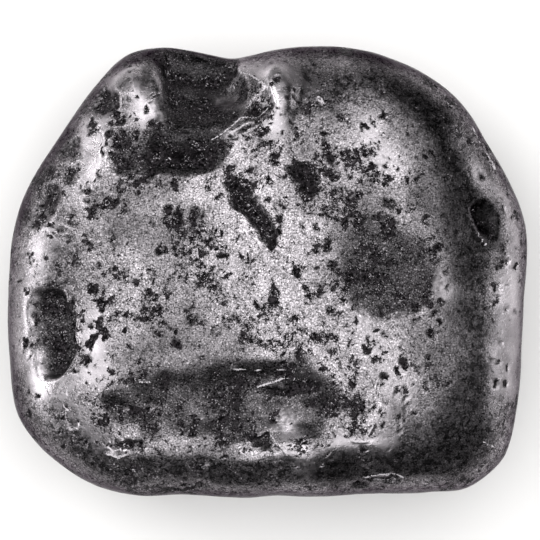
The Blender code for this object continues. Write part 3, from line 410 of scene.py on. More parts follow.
# Pits of the upper side, by region: (x, y, half length, half width, turn in degrees). A turn of 0 is
# left out, and then so is a half width that equals the half length.
PITS = {
    "upper left": [
        (-8.3, 12.0, 0.28, 0.13), (-7.9, 12.5, 0.15, 0.12), (-8.4, 12.5, 0.12),
        (-10.6, 9.1, 0.4, 0.25, 90), (-10.8, 8.4, 0.18), (-9.9, 8.4, 0.25, 0.12, 90),
        (-8.8, 9.1, 0.4, 0.25, 10), (-9.5, 7.2, 0.3, 0.25, 80), (-11.5, 6.7, 0.25, 0.13, -20),
        (-10.3, 6.0, 0.4, 0.22, 90), (-12.0, 5.9, 0.4, 0.3, 20), (-12.8, 5.9, 0.25, 0.13),
        (-7.9, 5.4, 0.25), (-9.7, 4.3, 0.55, 0.32, 15), (-9.1, 4.3, 0.3), (-11.5, 4.8, 0.13),
        (-11.0, 4.8, 0.25, 0.13), (-12.4, 4.9, 0.2, 0.1), (-9.0, 5.4, 0.5, 0.25, 90), (-5.7, 5.2, 0.25),
        (-5.4, 3.1, 0.6, 0.32, 90), (-6.9, 2.9, 0.25, 0.19, 90), (-6.3, 1.2, 0.4, 0.3),
        (-4.4, 3.5, 0.6, 0.32, 80), (-9.4, 2.0, 0.5, 0.19, 90), (-11.9, 3.4, 0.32, 0.25),
        (-10.6, 3.5, 0.32, 0.3),
    ],
    "crown": [
        (0.7, 11.6, 0.32, 0.2, 45), (0.0, 10.9, 0.32, 0.2, 90), (0.0, 10.1, 0.4, 0.2, 90),
        (-0.2, 8.5, 0.35, 0.32), (-0.6, 9.1, 0.2, 0.18), (0.4, 6.7, 0.45, 0.35, 60),
        (-0.8, 7.4, 0.16, 0.14), (0.2, 7.6, 0.16, 0.14), (0.8, 7.5, 0.12), (1.9, 8.3, 0.38, 0.12, 90),
        (2.2, 8.6, 0.12), (0.1, 4.3, 0.32, 0.28), (-2.1, 6.3, 0.2, 0.18), (4.8, 7.3, 0.2, 0.18),
        (1.6, 10.6, 0.25, 0.12), (1.2, 10.5, 0.12), (0.6, 9.9, 0.32, 0.12, -45),
        (2.8, 5.6, 0.4, 0.35, 40), (1.8, 6.5, 0.3, 0.2, 90), (-0.6, 9.8, 0.6, 0.5, 30),
    ],
    "upper right": [
        (5.8, 8.8, 0.32, 0.2, 90), (6.5, 9.0, 0.12), (5.4, 7.3, 0.28, 0.22, 90),
        (7.1, 9.6, 0.38, 0.2, 10), (7.1, 6.5, 0.25, 0.16), (6.3, 6.4, 0.28, 0.16), (8.0, 6.2, 0.12),
        (7.6, 4.1, 0.55, 0.32, -30), (8.5, 5.6, 0.2, 0.18), (9.0, 5.6, 0.32, 0.16, 90),
        (7.1, 5.3, 0.25, 0.12), (6.3, 4.9, 0.16, 0.15), (5.5, 4.6, 0.38, 0.2), (9.8, 11.6, 0.25),
        (10.5, 11.5, 0.12), (11.0, 10.1, 0.25, 0.12, -40), (10.7, 9.5, 0.12), (11.5, 8.6, 0.32, 0.2, 90),
        (12.2, 8.0, 0.38, 0.25, 90), (13.2, 5.8, 0.2, 0.18), (14.7, 4.9, 0.45, 0.2, -55),
        (14.5, 3.7, 0.16, 0.15), (14.9, 3.3, 0.12), (15.6, 2.2, 0.5, 0.12, -70), (15.3, 1.4, 0.12),
        (15.3, 0.4, 0.32, 0.25, 90), (14.5, 0.5, 0.5, 0.3, -20), (14.4, 1.4, 0.5, 0.18, -68),
    ],
    "left": [
        (-12.7, 2.5, 0.32, 0.2), (-13.2, 2.1, 0.12), (-12.0, 1.8, 0.32, 0.12, 90),
        (-11.8, 0.6, 0.2, 0.15, 90), (-13.5, 0.9, 0.15), (-10.2, 0.4, 0.25), (-7.7, -0.2, 0.2, 0.18),
        (-8.1, -0.7, 0.25, 0.2), (-6.9, -0.5, 0.12), (-6.0, -0.6, 0.32, 0.2),
        (-5.9, -1.3, 0.38, 0.15, -15), (-12.6, -0.8, 0.22, 0.2, 90), (-14.8, -4.4, 0.38, 0.32),
        (-14.4, -5.2, 0.25, 0.16), (-11.6, -2.7, 0.32, 0.12), (-11.2, -3.0, 0.12),
        (-12.1, -2.0, 0.25, 0.2), (-10.6, -1.1, 0.5, 0.2, -60), (-10.0, -1.3, 0.32, 0.12, 60),
        (-10.0, -2.2, 0.44, 0.26, 80), (-10.2, -3.0, 0.4, 0.24, 60), (-10.7, -3.3, 0.2, 0.15),
        (-10.5, -3.9, 0.25, 0.15, 30), (-11.0, -4.4, 0.28, 0.16, 90), (-11.0, -5.6, 0.44, 0.18, 90),
        (-9.1, -2.5, 0.2, 0.18), (-7.4, -2.9, 0.38, 0.22), (-9.5, -1.7, 0.12), (-5.7, -4.5, 0.32, 0.25),
    ],
    "middle": [
        (0.6, 2.4, 0.25), (1.0, 3.3, 0.25), (2.1, 2.9, 0.22), (2.9, 2.8, 0.38, 0.2, 90),
        (2.6, 3.6, 0.25, 0.2), (2.4, 2.3, 0.12), (4.7, 3.0, 0.22), (4.2, 0.4, 0.28, 0.22),
        (4.3, -0.1, 0.25, 0.16), (3.7, 1.4, 0.5, 0.2, 80), (1.6, 0.0, 0.2), (1.1, 0.2, 0.12),
        (-2.3, -0.2, 0.25, 0.2, 90), (-3.9, -0.3, 0.38, 0.3), (0.5, -1.3, 0.22),
        (3.1, -1.3, 0.32, 0.22, 90), (4.0, -1.0, 0.25, 0.15, 90), (1.7, -2.8, 0.25, 0.22),
        (-2.9, -3.6, 0.32, 0.25, -45), (-1.5, -4.1, 0.25, 0.15, 90), (-0.3, -4.2, 0.25, 0.12, 90),
        (1.0, -4.0, 0.25, 0.2), (3.0, -3.8, 0.32, 0.22), (3.5, -2.8, 0.25), (5.4, -3.1, 0.2, 0.15),
        (5.0, -4.6, 0.12), (5.4, -5.4, 0.35, 0.22, -50), (-4.5, -3.1, 0.55, 0.35),
        (-5.2, -2.0, 0.2, 0.18),
    ],
    "right": [
        (9.0, -3.0, 0.38, 0.2, -80), (5.9, -2.6, 0.22, 0.15), (10.5, -3.2, 0.22, 0.2),
        (7.1, -3.8, 0.25, 0.22), (6.1, -4.0, 0.25, 0.2), (6.5, -4.2, 0.2, 0.12, 45),
        (6.1, -4.8, 0.32, 0.25, 90), (6.5, -5.3, 0.32, 0.12, 15), (8.4, -5.5, 0.28, 0.25),
        (9.9, -3.9, 0.32, 0.3), (14.0, -1.1, 0.2, 0.14), (13.9, -1.9, 0.12), (14.6, -2.3, 0.2),
        (15.3, -2.4, 0.32, 0.25, 90), (14.2, -4.4, 0.12), (13.7, -5.4, 0.22, 0.2),
        (14.2, -5.6, 0.15, 0.12), (14.7, -5.9, 0.2, 0.12, 90), (15.5, -4.7, 0.38, 0.12, 90),
        (11.0, -0.9, 0.25, 0.16), (14.0, -6.8, 0.2),
    ],
    "lower": [
        (-13.9, -7.6, 0.15), (-12.1, -8.3, 0.25, 0.16), (-12.4, -8.8, 0.2),
        (-11.9, -9.4, 0.32, 0.25, -40), (7.0, -6.4, 0.38, 0.25), (6.5, -6.9, 0.15),
        (5.2, -7.0, 0.2, 0.18), (8.4, -7.2, 0.25, 0.2), (8.4, -7.7, 0.2, 0.15), (7.9, -7.4, 0.15),
        (7.3, -8.1, 0.22, 0.16), (6.6, -8.2, 0.2, 0.12, 90), (8.0, -9.0, 0.28, 0.25),
        (8.9, -8.6, 0.2, 0.15), (8.9, -6.9, 0.25, 0.12), (9.7, -6.9, 0.25, 0.2), (7.0, -9.4, 0.15),
        (-5.5, -13.4, 0.6, 0.25, -10), (5.7, -13.1, 0.45, 0.25, -35), (2.6, -13.2, 0.5, 0.2, -5),
        (-8.0, -10.6, 0.55, 0.18, 25),
    ],
    "lower right corner": [
        (15.3, -7.9, 0.44, 0.12, 80), (15.1, -9.1, 0.25, 0.12, 90), (14.4, -9.9, 0.38, 0.16, 80),
        (13.2, -10.9, 0.2, 0.12, 30), (14.0, -11.3, 0.32, 0.12, 50), (13.1, -11.9, 0.44, 0.12, 40),
        (11.9, -11.7, 0.25, 0.2), (11.5, -12.4, 0.25, 0.12, 30), (12.4, -13.0, 0.7, 0.12, 20),
        (11.0, -13.4, 0.38, 0.1), (10.2, -12.6, 0.2, 0.15, -40),
    ],
}
PIT_DEPTH = 0.5  # of its half width
PIT_FLOOR = 0.15
PIT_RAWNESS = (0.25, 0.75)
PIT_DULLNESS = 0.6
PIT_HALO = 1.9  # how far the crumbled rock reaches around a pit, of the pit's own size

# Chance pits all over the stone.
CHANCE_PITS = 900
CHANCE_PIT_SIZES = (0.08, 0.28)
CHANCE_SEED = 7

# How the marks on the corners are made.
UPSIDE = 0.05  # the skin's upward part is more than this where the pits of the upper side can be
UNDERSIDE = -0.12  # and less than this where the hollows of the underside can be
RAW_SPILL = 0.25  # how far dull and crumbled rock spills out of a hollow
RAW_EDGE = 0.7  # the power that a hollow's slope is raised to, so that its walls are raw too
SHADED_SIDE = (0.95, -0.1)  # the way that the shoulder with the most painted shade faces
SHADED_SIDE_FADE = (0.0, 0.25)  # how much of the skin faces that way, from no painted shade to all of it
SHOULDER_TOP = (0.985, 0.94)  # the upward part of the skin over which a shoulder starts
SHOULDER_FOOT = (0.5, 0.75)  # and over which it ends
PROUD_ROUNDS = 12  # rounds of averaging that give the surroundings
PROUD_REACH = 0.02  # standing this far above or below the surroundings counts in full

# Noises of the finish: how large their lumps are, in millimetres or in grains, then detail and roughness.
NOISES = {
    "clouds": (4.5, 3.0, 0.55),
    "mottle": (2.4, 4.0, 0.6),
}
GRAIN_NOISES = {
    "grain": (1, 1.0, 0.8),
    "blotches": (4, 3.0, 0.65),
    "sparks": (1, 1.0, 0.6),
    "pores": (2, 3.0, 0.8),
}
SPAN = (0.3, 0.7)  # most values of a noise lie within this

# Where the rock is crumbled. Here and below, a SPAN is the values between which something changes. Where
# four numbers stand, the first two are such a span and the last two are what its ends are turned to.
CRUMBS = (1.0, 4.0, 0.9, 2.8)  # lumps to a crumb's length, detail, roughness and how much they count
CLUSTERS = (0.4, 1.0, 0.5, 0.9)
RAWNESS_GAIN = 0.9
MASK_SPAN = (0.44, 0.56)
DEPTH_SPAN = (0.4, 1.0)
DIP_SPAN = (0.5, 0.15)  # of how far the skin stands proud
DIP_RAWNESS = 0.2  # what a full dip adds
MOTTLE_DENSITY = (0.35, 0.65, -0.04, 0.45)
SHOULDER_BARENESS = 0.25  # what a shoulder takes off the density
POLISH_BARENESS = 0.24  # what each doubling of the brightness takes off
FLECKED_SPAN = (0.0, 0.3)  # of the rawness, up to where the strokes of painted light take nothing off

# Where the rock is dull and painted with shade, and how bright the polished skin is. Two numbers are what the
# ends of SPAN become.
DULL_MOTTLE = (0.8, 1.2)
DULL_BLOTCHES = (-0.15, 0.15)
DULL_PORES = (-0.1, 0.1)
DULL_SPAN = (0.05, 0.95)
SPECKLE_TONES = (0.5, 1.5)
SPECKLE_POWERS = (1.1, 2.0)  # on polished and on dull rock
BLOTCH_TONES = (0.6, 1.33)
PORE_TONES = (0.43, 0.36, 1.0, 0.25)
EVEN_SPAN = (0.0, 1.2)  # of the strokes of painted light, up to where the skin has no speckle
CLOUD_TONES = (0.72, 1.22)
MOTTLE_TONES = (0.4, 0.7, 1.1, 0.75)
# Random specks of the skin painted brighter as glints.
GLINT_SPAN = (0.64, 0.76)
GLINT_GAINS = (0.8, 2.0)  # on polished and on dull rock
# Rises are painted brighter: partly where tumbling wore the rock, partly a painted highlight on rims.
PROUD_TONES = (0.5, 1.0, 1.0, 1.2)
# How dark dull rock is: partly its own dullness, partly painted shade in hollows.
DULL_SHADE_TONE = 0.2
# How dark the painted shade on the shoulder is.
SHOULDER_SHADE_TONE = 0.5

# The rest of the finish.
GLITTER_SPAN = (0.36, 0.44)  # of the sparks times the blotches, where glints are painted into the raw rock
DEEP_SPAN = (0.6, 1.0)  # of the rawness: the rawest rock is painted near black, partly its own black and partly painted shade at the bottom of pits
SOOT_SPAN = (0.4, 0.55)  # of the pores
RIDGE_HIGHLIGHT_SPAN = (0.6, 0.8)  # of the painted ridge highlights times a noise that breaks them up
EDGE_TINT = (0.35, 0.33, 0.35, 1.0)  # of the shine at a grazing angle
RAW_SHINE = 0.05
GLOSS_SPREAD = (-0.06, 0.08)  # what the blotches do to the roughness of the polish
DULL_ROUGHNESS = 0.14  # what dull rock adds
GRAIN_RELIEF = 0.007
BLOTCH_RELIEF = 0.02
CRUMB_RELIEF = 0.08

# The stage, in metres.
FLOOR_SIZE = 6.0
FLOOR_ROUGHNESS = 0.9
FRAME_CENTRE = (0.00015, 0.00012)  # what the camera's middle looks at
SENSOR_WIDTH = 36.0  # in millimetres
SKY_STRENGTH = 0.06
LAMP_TARGET = (0.0, 0.0, 0.008)
OVERHEAD_PLACE = (0.06, 0.04)
OVERHEAD_LAMPS = {  # height, (width, length) and share of the softbox's power
    "overhead softbox's dim border": (1.08, (2.0, 2.3), 0.32),
    "overhead softbox": (1.0, (1.4, 1.6), 0.4),
    "overhead softbox's bright middle": (0.93, (1.05, 1.2), 0.55),
}
SIDE_LAMPS = {  # place, (width, height) and power in watts
    "upper left softbox": ((-0.62, 0.5, 0.8), (0.55, 0.5), 4.5),
    "left softbox": ((-0.9, 0.0, 0.22), (1.0, 0.3), 5.0),
    "right softbox": ((0.9, 0.15, 0.12), (0.62, 0.22), 3.6),
}


class StoneFinishSettings(bpy.types.PropertyGroup):
    """Colours and gloss of the stone's finish"""

    polished_colour: bpy.props.FloatVectorProperty(
        name="Polished colour",
        description="Colour of the carbon where tumbling has polished it",
        subtype="COLOR",
        size=3,
        min=0,
        max=1,
        default=(0.138, 0.130, 0.137),
    )
    raw_colour: bpy.props.FloatVectorProperty(
        name="Raw colour",
        description="Colour of the unpolished rock in hollows and pits",
        subtype="COLOR",
        size=3,
        min=0,
        max=1,
        default=(0.03, 0.0265, 0.0295),
    )
    # Partly the rock's own black and partly painted shade at the bottom of pits.
    deep_colour: bpy.props.FloatVectorProperty(
        name="Deep colour",
        description="Colour of the soot-black rock at the bottom of pits",
        subtype="COLOR",
        size=3,
        min=0,
        max=1,
        default=(0.0015, 0.0013, 0.0015),
    )
    # Painted glints: pale matt specks in the raw rock and along the ridges.
    glitter_colour: bpy.props.FloatVectorProperty(
        name="Glitter colour",
        description="Colour of the fine crystals that glint in the raw rock",
        subtype="COLOR",
        size=3,
        min=0,
        max=1,
        default=(0.42, 0.4, 0.42),
    )
    polished_roughness: bpy.props.FloatProperty(
        name="Polished roughness",
        description="Roughness of the polished carbon",
        subtype="FACTOR",
        min=0,
        max=1,
        default=0.28,
    )
    raw_roughness: bpy.props.FloatProperty(
        name="Raw roughness",
        description="Roughness of the unpolished rock",
        subtype="FACTOR",
        min=0,
        max=1,
        default=0.55,
    )
    grain_size: bpy.props.FloatProperty(
        name="Grain size",
        description="Size of the finest grains, in millimetres",
        min=0.01,
        default=0.1,
    )
    crumb_size: bpy.props.FloatProperty(
        name="Crumb size",
        description="Size of the largest crumbs at the edges of raw rock, in millimetres",
        min=0.01,
        default=0.42,
    )


class StoneStageSettings(bpy.types.PropertyGroup):
    """The floor, the camera and the strength of the lamps"""

    floor_colour: bpy.props.FloatVectorProperty(
        name="Floor colour",
        description="Colour of the plain pale floor",
        subtype="COLOR",
        size=3,
        min=0,
        max=1,
        default=(0.735, 0.728, 0.722),
    )
    camera_height: bpy.props.FloatProperty(
        name="Camera height",
        description="Height of the camera above the floor",
        subtype="DISTANCE",
        unit="LENGTH",
        default=0.45,
    )
    frame_width: bpy.props.FloatProperty(
        name="Frame width",
        description="Width of what the camera sees, measured at the stone's girdle",
        subtype="DISTANCE",
        unit="LENGTH",
        precision=4,
        default=0.0333,
    )
    softbox_power: bpy.props.FloatProperty(
        name="Softbox power",
        description="Power of the softbox overhead, in watts",
        min=0,
        default=16.8,
    )


# ---- The net ----


def smooth_step(value, low, high):
    t = ((value - low) / (high - low)).clip(0, 1)
    return t**2 * (3 - 2 * t)


def outline_radius(azimuths):
    """The outline's distance from the middle at each azimuth, on a smooth closed curve through OUTLINE."""
    corners = np.array(OUTLINE)
    corners -= (corners.max(axis=0) + corners.min(axis=0)) / 2
    corners *= np.array(STONE_SIZE[:2]) / np.ptp(corners, axis=0)
    turn = np.unwrap(np.arctan2(corners[:, 1], corners[:, 0]))
    reach = np.hypot(corners[:, 0], corners[:, 1])
    full = 2 * math.pi
    turn = np.concatenate([turn[-2:] - full, turn, turn[:3] + full])
    reach = np.concatenate([reach[-2:], reach, reach[:3]])
    slope = (reach[2:] - reach[:-2]) / (turn[2:] - turn[:-2])
    azimuths = turn[1] + (azimuths - turn[1]) % full
    k = np.clip(np.searchsorted(turn, azimuths, side="right") - 1, 1, len(turn) - 3)
    span = turn[k + 1] - turn[k]
    t = (azimuths - turn[k]) / span
    return (
        (2 * t**3 - 3 * t**2 + 1) * reach[k]
        + (t**3 - 2 * t**2 + t) * span * slope[k - 1]
        + (3 * t**2 - 2 * t**3) * reach[k + 1]
        + (t**3 - t**2) * span * slope[k]
    )


def side_boxiness(azimuth):
    """What the boxiness gains at each azimuth, which goes smoothly from one side to the next."""
    turn = np.degrees(azimuth) % 360
    sides = SIDE_BOXINESS + [(360, SIDE_BOXINESS[0][1])]
    gain = np.zeros(len(turn))
    for (start, first), (end, second) in zip(sides, sides[1:]):
        here = (turn >= start) & (turn <= end)
        gain[here] = first + (second - first) * smooth_step(turn[here], start, end)
    return gain


def profile(share, boxiness, wall_boxiness, more):
    """Reach and height, each 0 to 1, at a share of the way from the pole (0) to the girdle (1).

    The share is even along the plain profile. more, for each corner, is added to both kinds of boxiness.
    """
    angle = np.linspace(0, math.pi / 2, PROFILE_SAMPLES)
    reach = np.sin(angle) ** (2 / wall_boxiness)
    rise = (1 - reach**boxiness).clip(0) ** (1 / wall_boxiness)
    way = np.concatenate([[0], np.cumsum(np.hypot(np.diff(reach), np.diff(rise) / 2))])
    angle = np.interp(share, way / way[-1], angle)
    reach = np.sin(angle) ** (2 / (wall_boxiness + more))
    return reach, (1 - reach ** (boxiness + more)).clip(0) ** (1 / (wall_boxiness + more))


def on_pillow(azimuth, polar):
    """The point of the plain pillow at an azimuth and at a polar angle, which is 0 at the crown."""
    upper = polar <= math.pi / 2
    share = np.where(upper, polar, math.pi - polar) / (math.pi / 2)
    share = share * (1 + PATCH_SPREAD * (1 - share))
    more = side_boxiness(azimuth)
    crown_reach, crown_rise = profile(share, CROWN_BOXINESS, CROWN_WALL_BOXINESS, more)
    base_reach, base_rise = profile(share, BASE_BOXINESS, BASE_WALL_BOXINESS, more * BASE_SHARE)
    reach = np.where(upper, crown_reach, base_reach) * outline_radius(azimuth)
    crown_height = GIRDLE_HEIGHT + (STONE_SIZE[2] - GIRDLE_HEIGHT) * crown_rise
    base_height = GIRDLE_HEIGHT - (GIRDLE_HEIGHT + REST_SINK) * base_rise
    height = np.where(upper, crown_height, base_height)
    return np.stack([reach * np.cos(azimuth), reach * np.sin(azimuth), height], axis=1)


def patch_directions(columns, rows):
    """(azimuth, polar) of each corner of a patch laid over a pole, row by row, as on one face of a cube."""
    side = np.tan(np.linspace(-math.pi / 4, math.pi / 4, columns + 1))
    front = np.tan(np.linspace(-math.pi / 4, math.pi / 4, rows + 1))
    x, y = np.meshgrid(side, front)
    return np.arctan2(y, x).ravel(), np.arctan(np.hypot(x, y)).ravel()


def patch_border(columns, rows):
    """Indices of a patch's border corners, anticlockwise from its first corner."""
    across = columns + 1
    front = [c for c in range(columns)]
    right = [r * across + columns for r in range(rows)]
    back = [rows * across + c for c in range(columns, 0, -1)]
    left = [r * across for r in range(rows, 0, -1)]
    return front + right + back + left


def patch_faces(columns, rows):
    across = columns + 1
    for r in range(rows):
        for c in range(columns):
            first = r * across + c
            yield (first, first + 1, first + across + 1, first + across)


def belt_faces(upper, lower):
    """Quads between two closed rows of corners, or fans of triangles where the lower row has half as many."""
    count = len(upper)
    if len(lower) == count:
        for i in range(count):
            j = (i + 1) % count
            yield (upper[i], lower[i], lower[j], upper[j])
        return
    for i in range(0, count, 2):
        here, there = lower[i // 2], lower[(i // 2 + 1) % len(lower)]
        middle, last = upper[i + 1], upper[(i + 2) % count]
        yield (upper[i], here, middle)
        yield (here, there, middle)
        yield (middle, there, last)


def make_net():
    """(azimuths, polar angles, faces) of the whole closed net."""
    azimuth, polar = patch_directions(PATCH_COLUMNS, PATCH_ROWS)
    azimuths, polars = [azimuth], [polar]
    faces = list(patch_faces(PATCH_COLUMNS, PATCH_ROWS))
    row = patch_border(PATCH_COLUMNS, PATCH_ROWS)
    border_azimuth, border_polar = azimuth[row], polar[row]
    count = len(azimuth)
    for k in range(1, SHOULDER_ROWS + 1):
        below = list(range(count, count + len(row)))
        azimuths.append(border_azimuth)
        polars.append(border_polar + (math.pi / 2 - border_polar) * k / SHOULDER_ROWS)
        faces += belt_faces(row, below)
        count += len(below)
        row = below
    half_azimuth, half_polar = border_azimuth[::2], math.pi - border_polar[::2]
    for k in range(1, FLANK_ROWS + 1):
        below = list(range(count, count + len(half_azimuth)))
        azimuths.append(half_azimuth)
        polars.append(math.pi / 2 + (half_polar - math.pi / 2) * k / (FLANK_ROWS + 1))
        faces += belt_faces(row, below)
        count += len(below)
        row = below
    columns, rows = PATCH_COLUMNS // 2, PATCH_ROWS // 2
    azimuth, polar = patch_directions(columns, rows)
    azimuths.append(azimuth)
    polars.append(math.pi - polar)
    faces += belt_faces(row, [count + i for i in patch_border(columns, rows)])
    faces += [tuple(count + i for i in reversed(face)) for face in patch_faces(columns, rows)]
    return np.concatenate(azimuths), np.concatenate(polars), faces


def skin_normals(points, faces):
    """Outward unit normals of the net at its corners."""
    mesh = bpy.data.meshes.new("normals")
    mesh.from_pydata(points.tolist(), [], faces)
    normals = np.empty(len(points) * 3)
    mesh.vertices.foreach_get("normal", normals)
    bpy.data.meshes.remove(mesh)
    return normals.reshape(-1, 3)


# ---- Hollows and pits ----


def uneven(points, height, length):
    """A smooth noise of the given height at each corner."""
    return height * np.array([noise.noise(Vector(p) / length) for p in points])


def wander(points, height, length):
    """Each corner moved a little way by a smooth noise, which makes the hollows' edges wander."""
    noise.seed_set(WANDER_SEED)
    return points + height * np.array([noise.noise_vector(Vector(p) / length) for p in points])


def hollow_slope(places, normals, middle, level, turn, half_length, half_width, floor, lean):
    """(numbers of the corners in a hollow, 0 at its edge to 1 on its floor for each)."""
    near = np.flatnonzero(np.abs(places - places[middle]).max(axis=1) < max(half_length, half_width))
    outward = normals[middle]
    along = level - outward * (level @ outward)
    along /= np.linalg.norm(along)
    across = np.cross(outward, along)
    turn = math.radians(turn)
    away = places[near] - places[middle]
    x = away @ (along * math.cos(turn) + across * math.sin(turn)) / half_length
    y = away @ (across * math.cos(turn) - along * math.sin(turn)) / half_width
    y = y - lean * (1 - np.hypot(x, y)).clip(0)
    slope = ((1 - np.hypot(x, y)) / (1 - floor)).clip(0, 1)
    facing = np.minimum(1, 2 * (normals[near] @ outward).clip(0, 1))
    return near, slope**2 * (3 - 2 * slope) * facing


def nearest(points, target, allowed):
    """Number of the corner nearest to a target, which is given by its first two or by all three axes."""
    away = np.linalg.norm(points[:, : len(target)] - np.array(target), axis=1)
    return int(np.argmin(np.where(allowed, away, np.inf)))


def patch_share(places, corners, spill=0.0):
    """0 outside a convex patch, and what spills out of it, to 1 within its walls, for each of the places."""
    x, y, wall = np.array(corners).T
    along_x, along_y = np.roll(x, -1) - x, np.roll(y, -1) - y
    run = np.hypot(along_x, along_y) * np.sign((x * np.roll(y, -1) - np.roll(x, -1) * y).sum())
    share = np.ones(len(places))
    for k in range(len(x)):
        inside = (along_x[k] * (places[:, 1] - y[k]) - along_y[k] * (places[:, 0] - x[k])) / run[k]
        share *= smooth_step(inside, -spill, wall[k] + spill)
    return share


def line_distance(places, line):
    """Distance of each corner from a line of (x, y), as seen from above."""
    nearest_so_far = np.full(len(places), np.inf)
    for (x, y), (end_x, end_y) in zip(line, line[1:]):
        along = np.array([end_x - x, end_y - y])
        away = places[:, :2] - [x, y]
        share = (away @ along / (along @ along)).clip(0, 1)
        nearest_so_far = np.minimum(nearest_so_far, np.linalg.norm(away - share[:, None] * along, axis=1))
    return nearest_so_far


def named_hollows(points, normals):
    """(corner number, level direction, shape as hollow_slope takes it, depth, dullness) of each."""
    east = np.array([1.0, 0.0, 0.0])
    facing_down = normals[:, 2] < UNDERSIDE
    anywhere = np.ones(len(points), bool)
    for _, place, turn, half_length, half_width, depth, floor, lean, dullness_and_shade in BASE_HOLLOWS:
        shape = (-turn, half_length, half_width, floor, lean)
        yield nearest(points, place, facing_down), east, shape, depth, dullness_and_shade
    for _, azimuth, height, turn, half_length, half_width, depth, floor, lean, dullness_and_shade in FLANK_HOLLOWS:
        azimuth = math.radians(azimuth)
        reach = float(outline_radius(np.array([azimuth]))[0])
        place = (reach * math.cos(azimuth), reach * math.sin(azimuth), height)
        around = np.array([-math.sin(azimuth), math.cos(azimuth), 0.0])
        shape = (turn, half_length, half_width, floor, lean)
        yield nearest(points, place, anywhere), around, shape, depth, dullness_and_shade


def pit_shape(half_length, half_width=None, turn=0):
    """(half length, half width, turn) of a pit, from what PITS gives after its place."""
    return half_length, half_width or half_length, turn


def pits(points, normals):
    """(corner number, level direction, turn, half length, half width, rawness), first of the named pits."""
    east = np.array([1.0, 0.0, 0.0])
    facing_up = normals[:, 2] > UPSIDE
    chance = random.Random(CHANCE_SEED)
    for group in PITS.values():
        for x, y, *rest in group:
            half_length, half_width, turn = pit_shape(*rest)
            middle = nearest(points, (x, y), facing_up)
            yield middle, east, turn, half_length, half_width, chance.uniform(*PIT_RAWNESS)
    smallest, largest = CHANCE_PIT_SIZES
    for _ in range(CHANCE_PITS):
        middle = chance.randrange(len(points))
        half_length = smallest + (largest - smallest) * chance.random() ** 3
        half_width = half_length * chance.uniform(0.5, 1)
        level = np.array([chance.uniform(-1, 1), chance.uniform(-1, 1), chance.uniform(-1, 1)])
        yield middle, level, 0, half_length, half_width, chance.uniform(*PIT_RAWNESS)


def carve(points, faces):
    """(carved points, marks of each corner: rawness, how dull with painted shade, painted ridge highlights,
    shoulder with painted shade, and strokes of painted light).
    """
    normals = skin_normals(points, faces)
    places = wander(points, *EDGE_WANDER)
    fine_places = wander(points, *FINE_WANDER)
    lift = uneven(points, *SWELL) + uneven(points, *RIPPLE)
    ragged_places = wander(places, *RAGGED_WANDER)
    raw, dull, ridge_highlight = np.zeros((3, len(points)))
    upward = smooth_step(normals[:, 2], *EDGE_FADE)
    for depth, dulling_and_shade, rawness, corners in PATCHES.values():
        narrow = max(wall for _, _, wall in corners) < NARROW_WALL
        lift -= depth * patch_share(ragged_places if narrow else places, corners) * upward
        share = (patch_share(ragged_places, corners, RAW_SPILL) * upward) ** RAW_EDGE
        # Dull rock, which is also painted shade in the hollows.
        dull = 1 - (1 - dull) * (1 - dulling_and_shade * share)
        raw = np.maximum(raw, rawness * share)
    for line in RIDGES.values():
        share = (1 - line_distance(places, line) / RIDGE_HALF_WIDTH).clip(0, 1) * upward
        lift += RIDGE_RISE * share
        # A highlight is painted along the ridge.
        ridge_highlight = np.maximum(ridge_highlight, share)
    for middle, level, shape, depth, dullness_and_shade in named_hollows(points, normals):
        near, slope = hollow_slope(places, normals, middle, level, *shape)
        lift[near] -= depth * slope
        dull[near] = np.maximum(dull[near], dullness_and_shade * slope)
    for middle, level, turn, half_length, half_width, rawness in pits(points, normals):
        shape = (turn, half_length, half_width, PIT_FLOOR, 0.0)
        near, slope = hollow_slope(fine_places, normals, middle, level, *shape)
        lift[near] -= PIT_DEPTH * half_width * slope
        halo = (turn, half_length * PIT_HALO, half_width * PIT_HALO, 0.0, 0.0)
        near, slope = hollow_slope(fine_places, normals, middle, level, *halo)
        raw[near] = np.maximum(raw[near], rawness * slope)
        dull[near] = np.maximum(dull[near], PIT_DULLNESS * slope)
    # Painted shade on the shoulders that face the shaded side.
    shoulder = smooth_step(normals[:, 2], *SHOULDER_TOP) * smooth_step(normals[:, 2], *SHOULDER_FOOT)
    shoulder *= smooth_step(normals[:, :2] @ SHADED_SIDE, *SHADED_SIDE_FADE)
    # Strokes of painted highlight and painted shade.
    polish_and_painted_light = np.zeros(len(points))
    for gain, reach, line in POLISH_AND_PAINTED_LIGHT.values():
        polish_and_painted_light += gain * smooth_step(line_distance(places, line), reach, 0)
    polish_and_painted_light *= smooth_step(normals[:, 2], *POLISH_AND_PAINTED_LIGHT_FADE)
    marks = {"rawness": raw, "dullness_and_shade": dull, "ridge_highlight": ridge_highlight, "shoulder": shoulder, "polish_and_painted_light": polish_and_painted_light}
    return points + normals * lift[:, None], marks


def settle(points):
    """Grinds the resting face flat, then brings the stone to its exact size over the origin."""
    points = points.copy()
    points[points[:, 2] < FLAT_SNAP, 2] = 0
    low, high = points.min(axis=0), points.max(axis=0)
    points -= [(low[0] + high[0]) / 2, (low[1] + high[1]) / 2, 0]
    return points * (np.array(STONE_SIZE) / [high[0] - low[0], high[1] - low[1], high[2]])


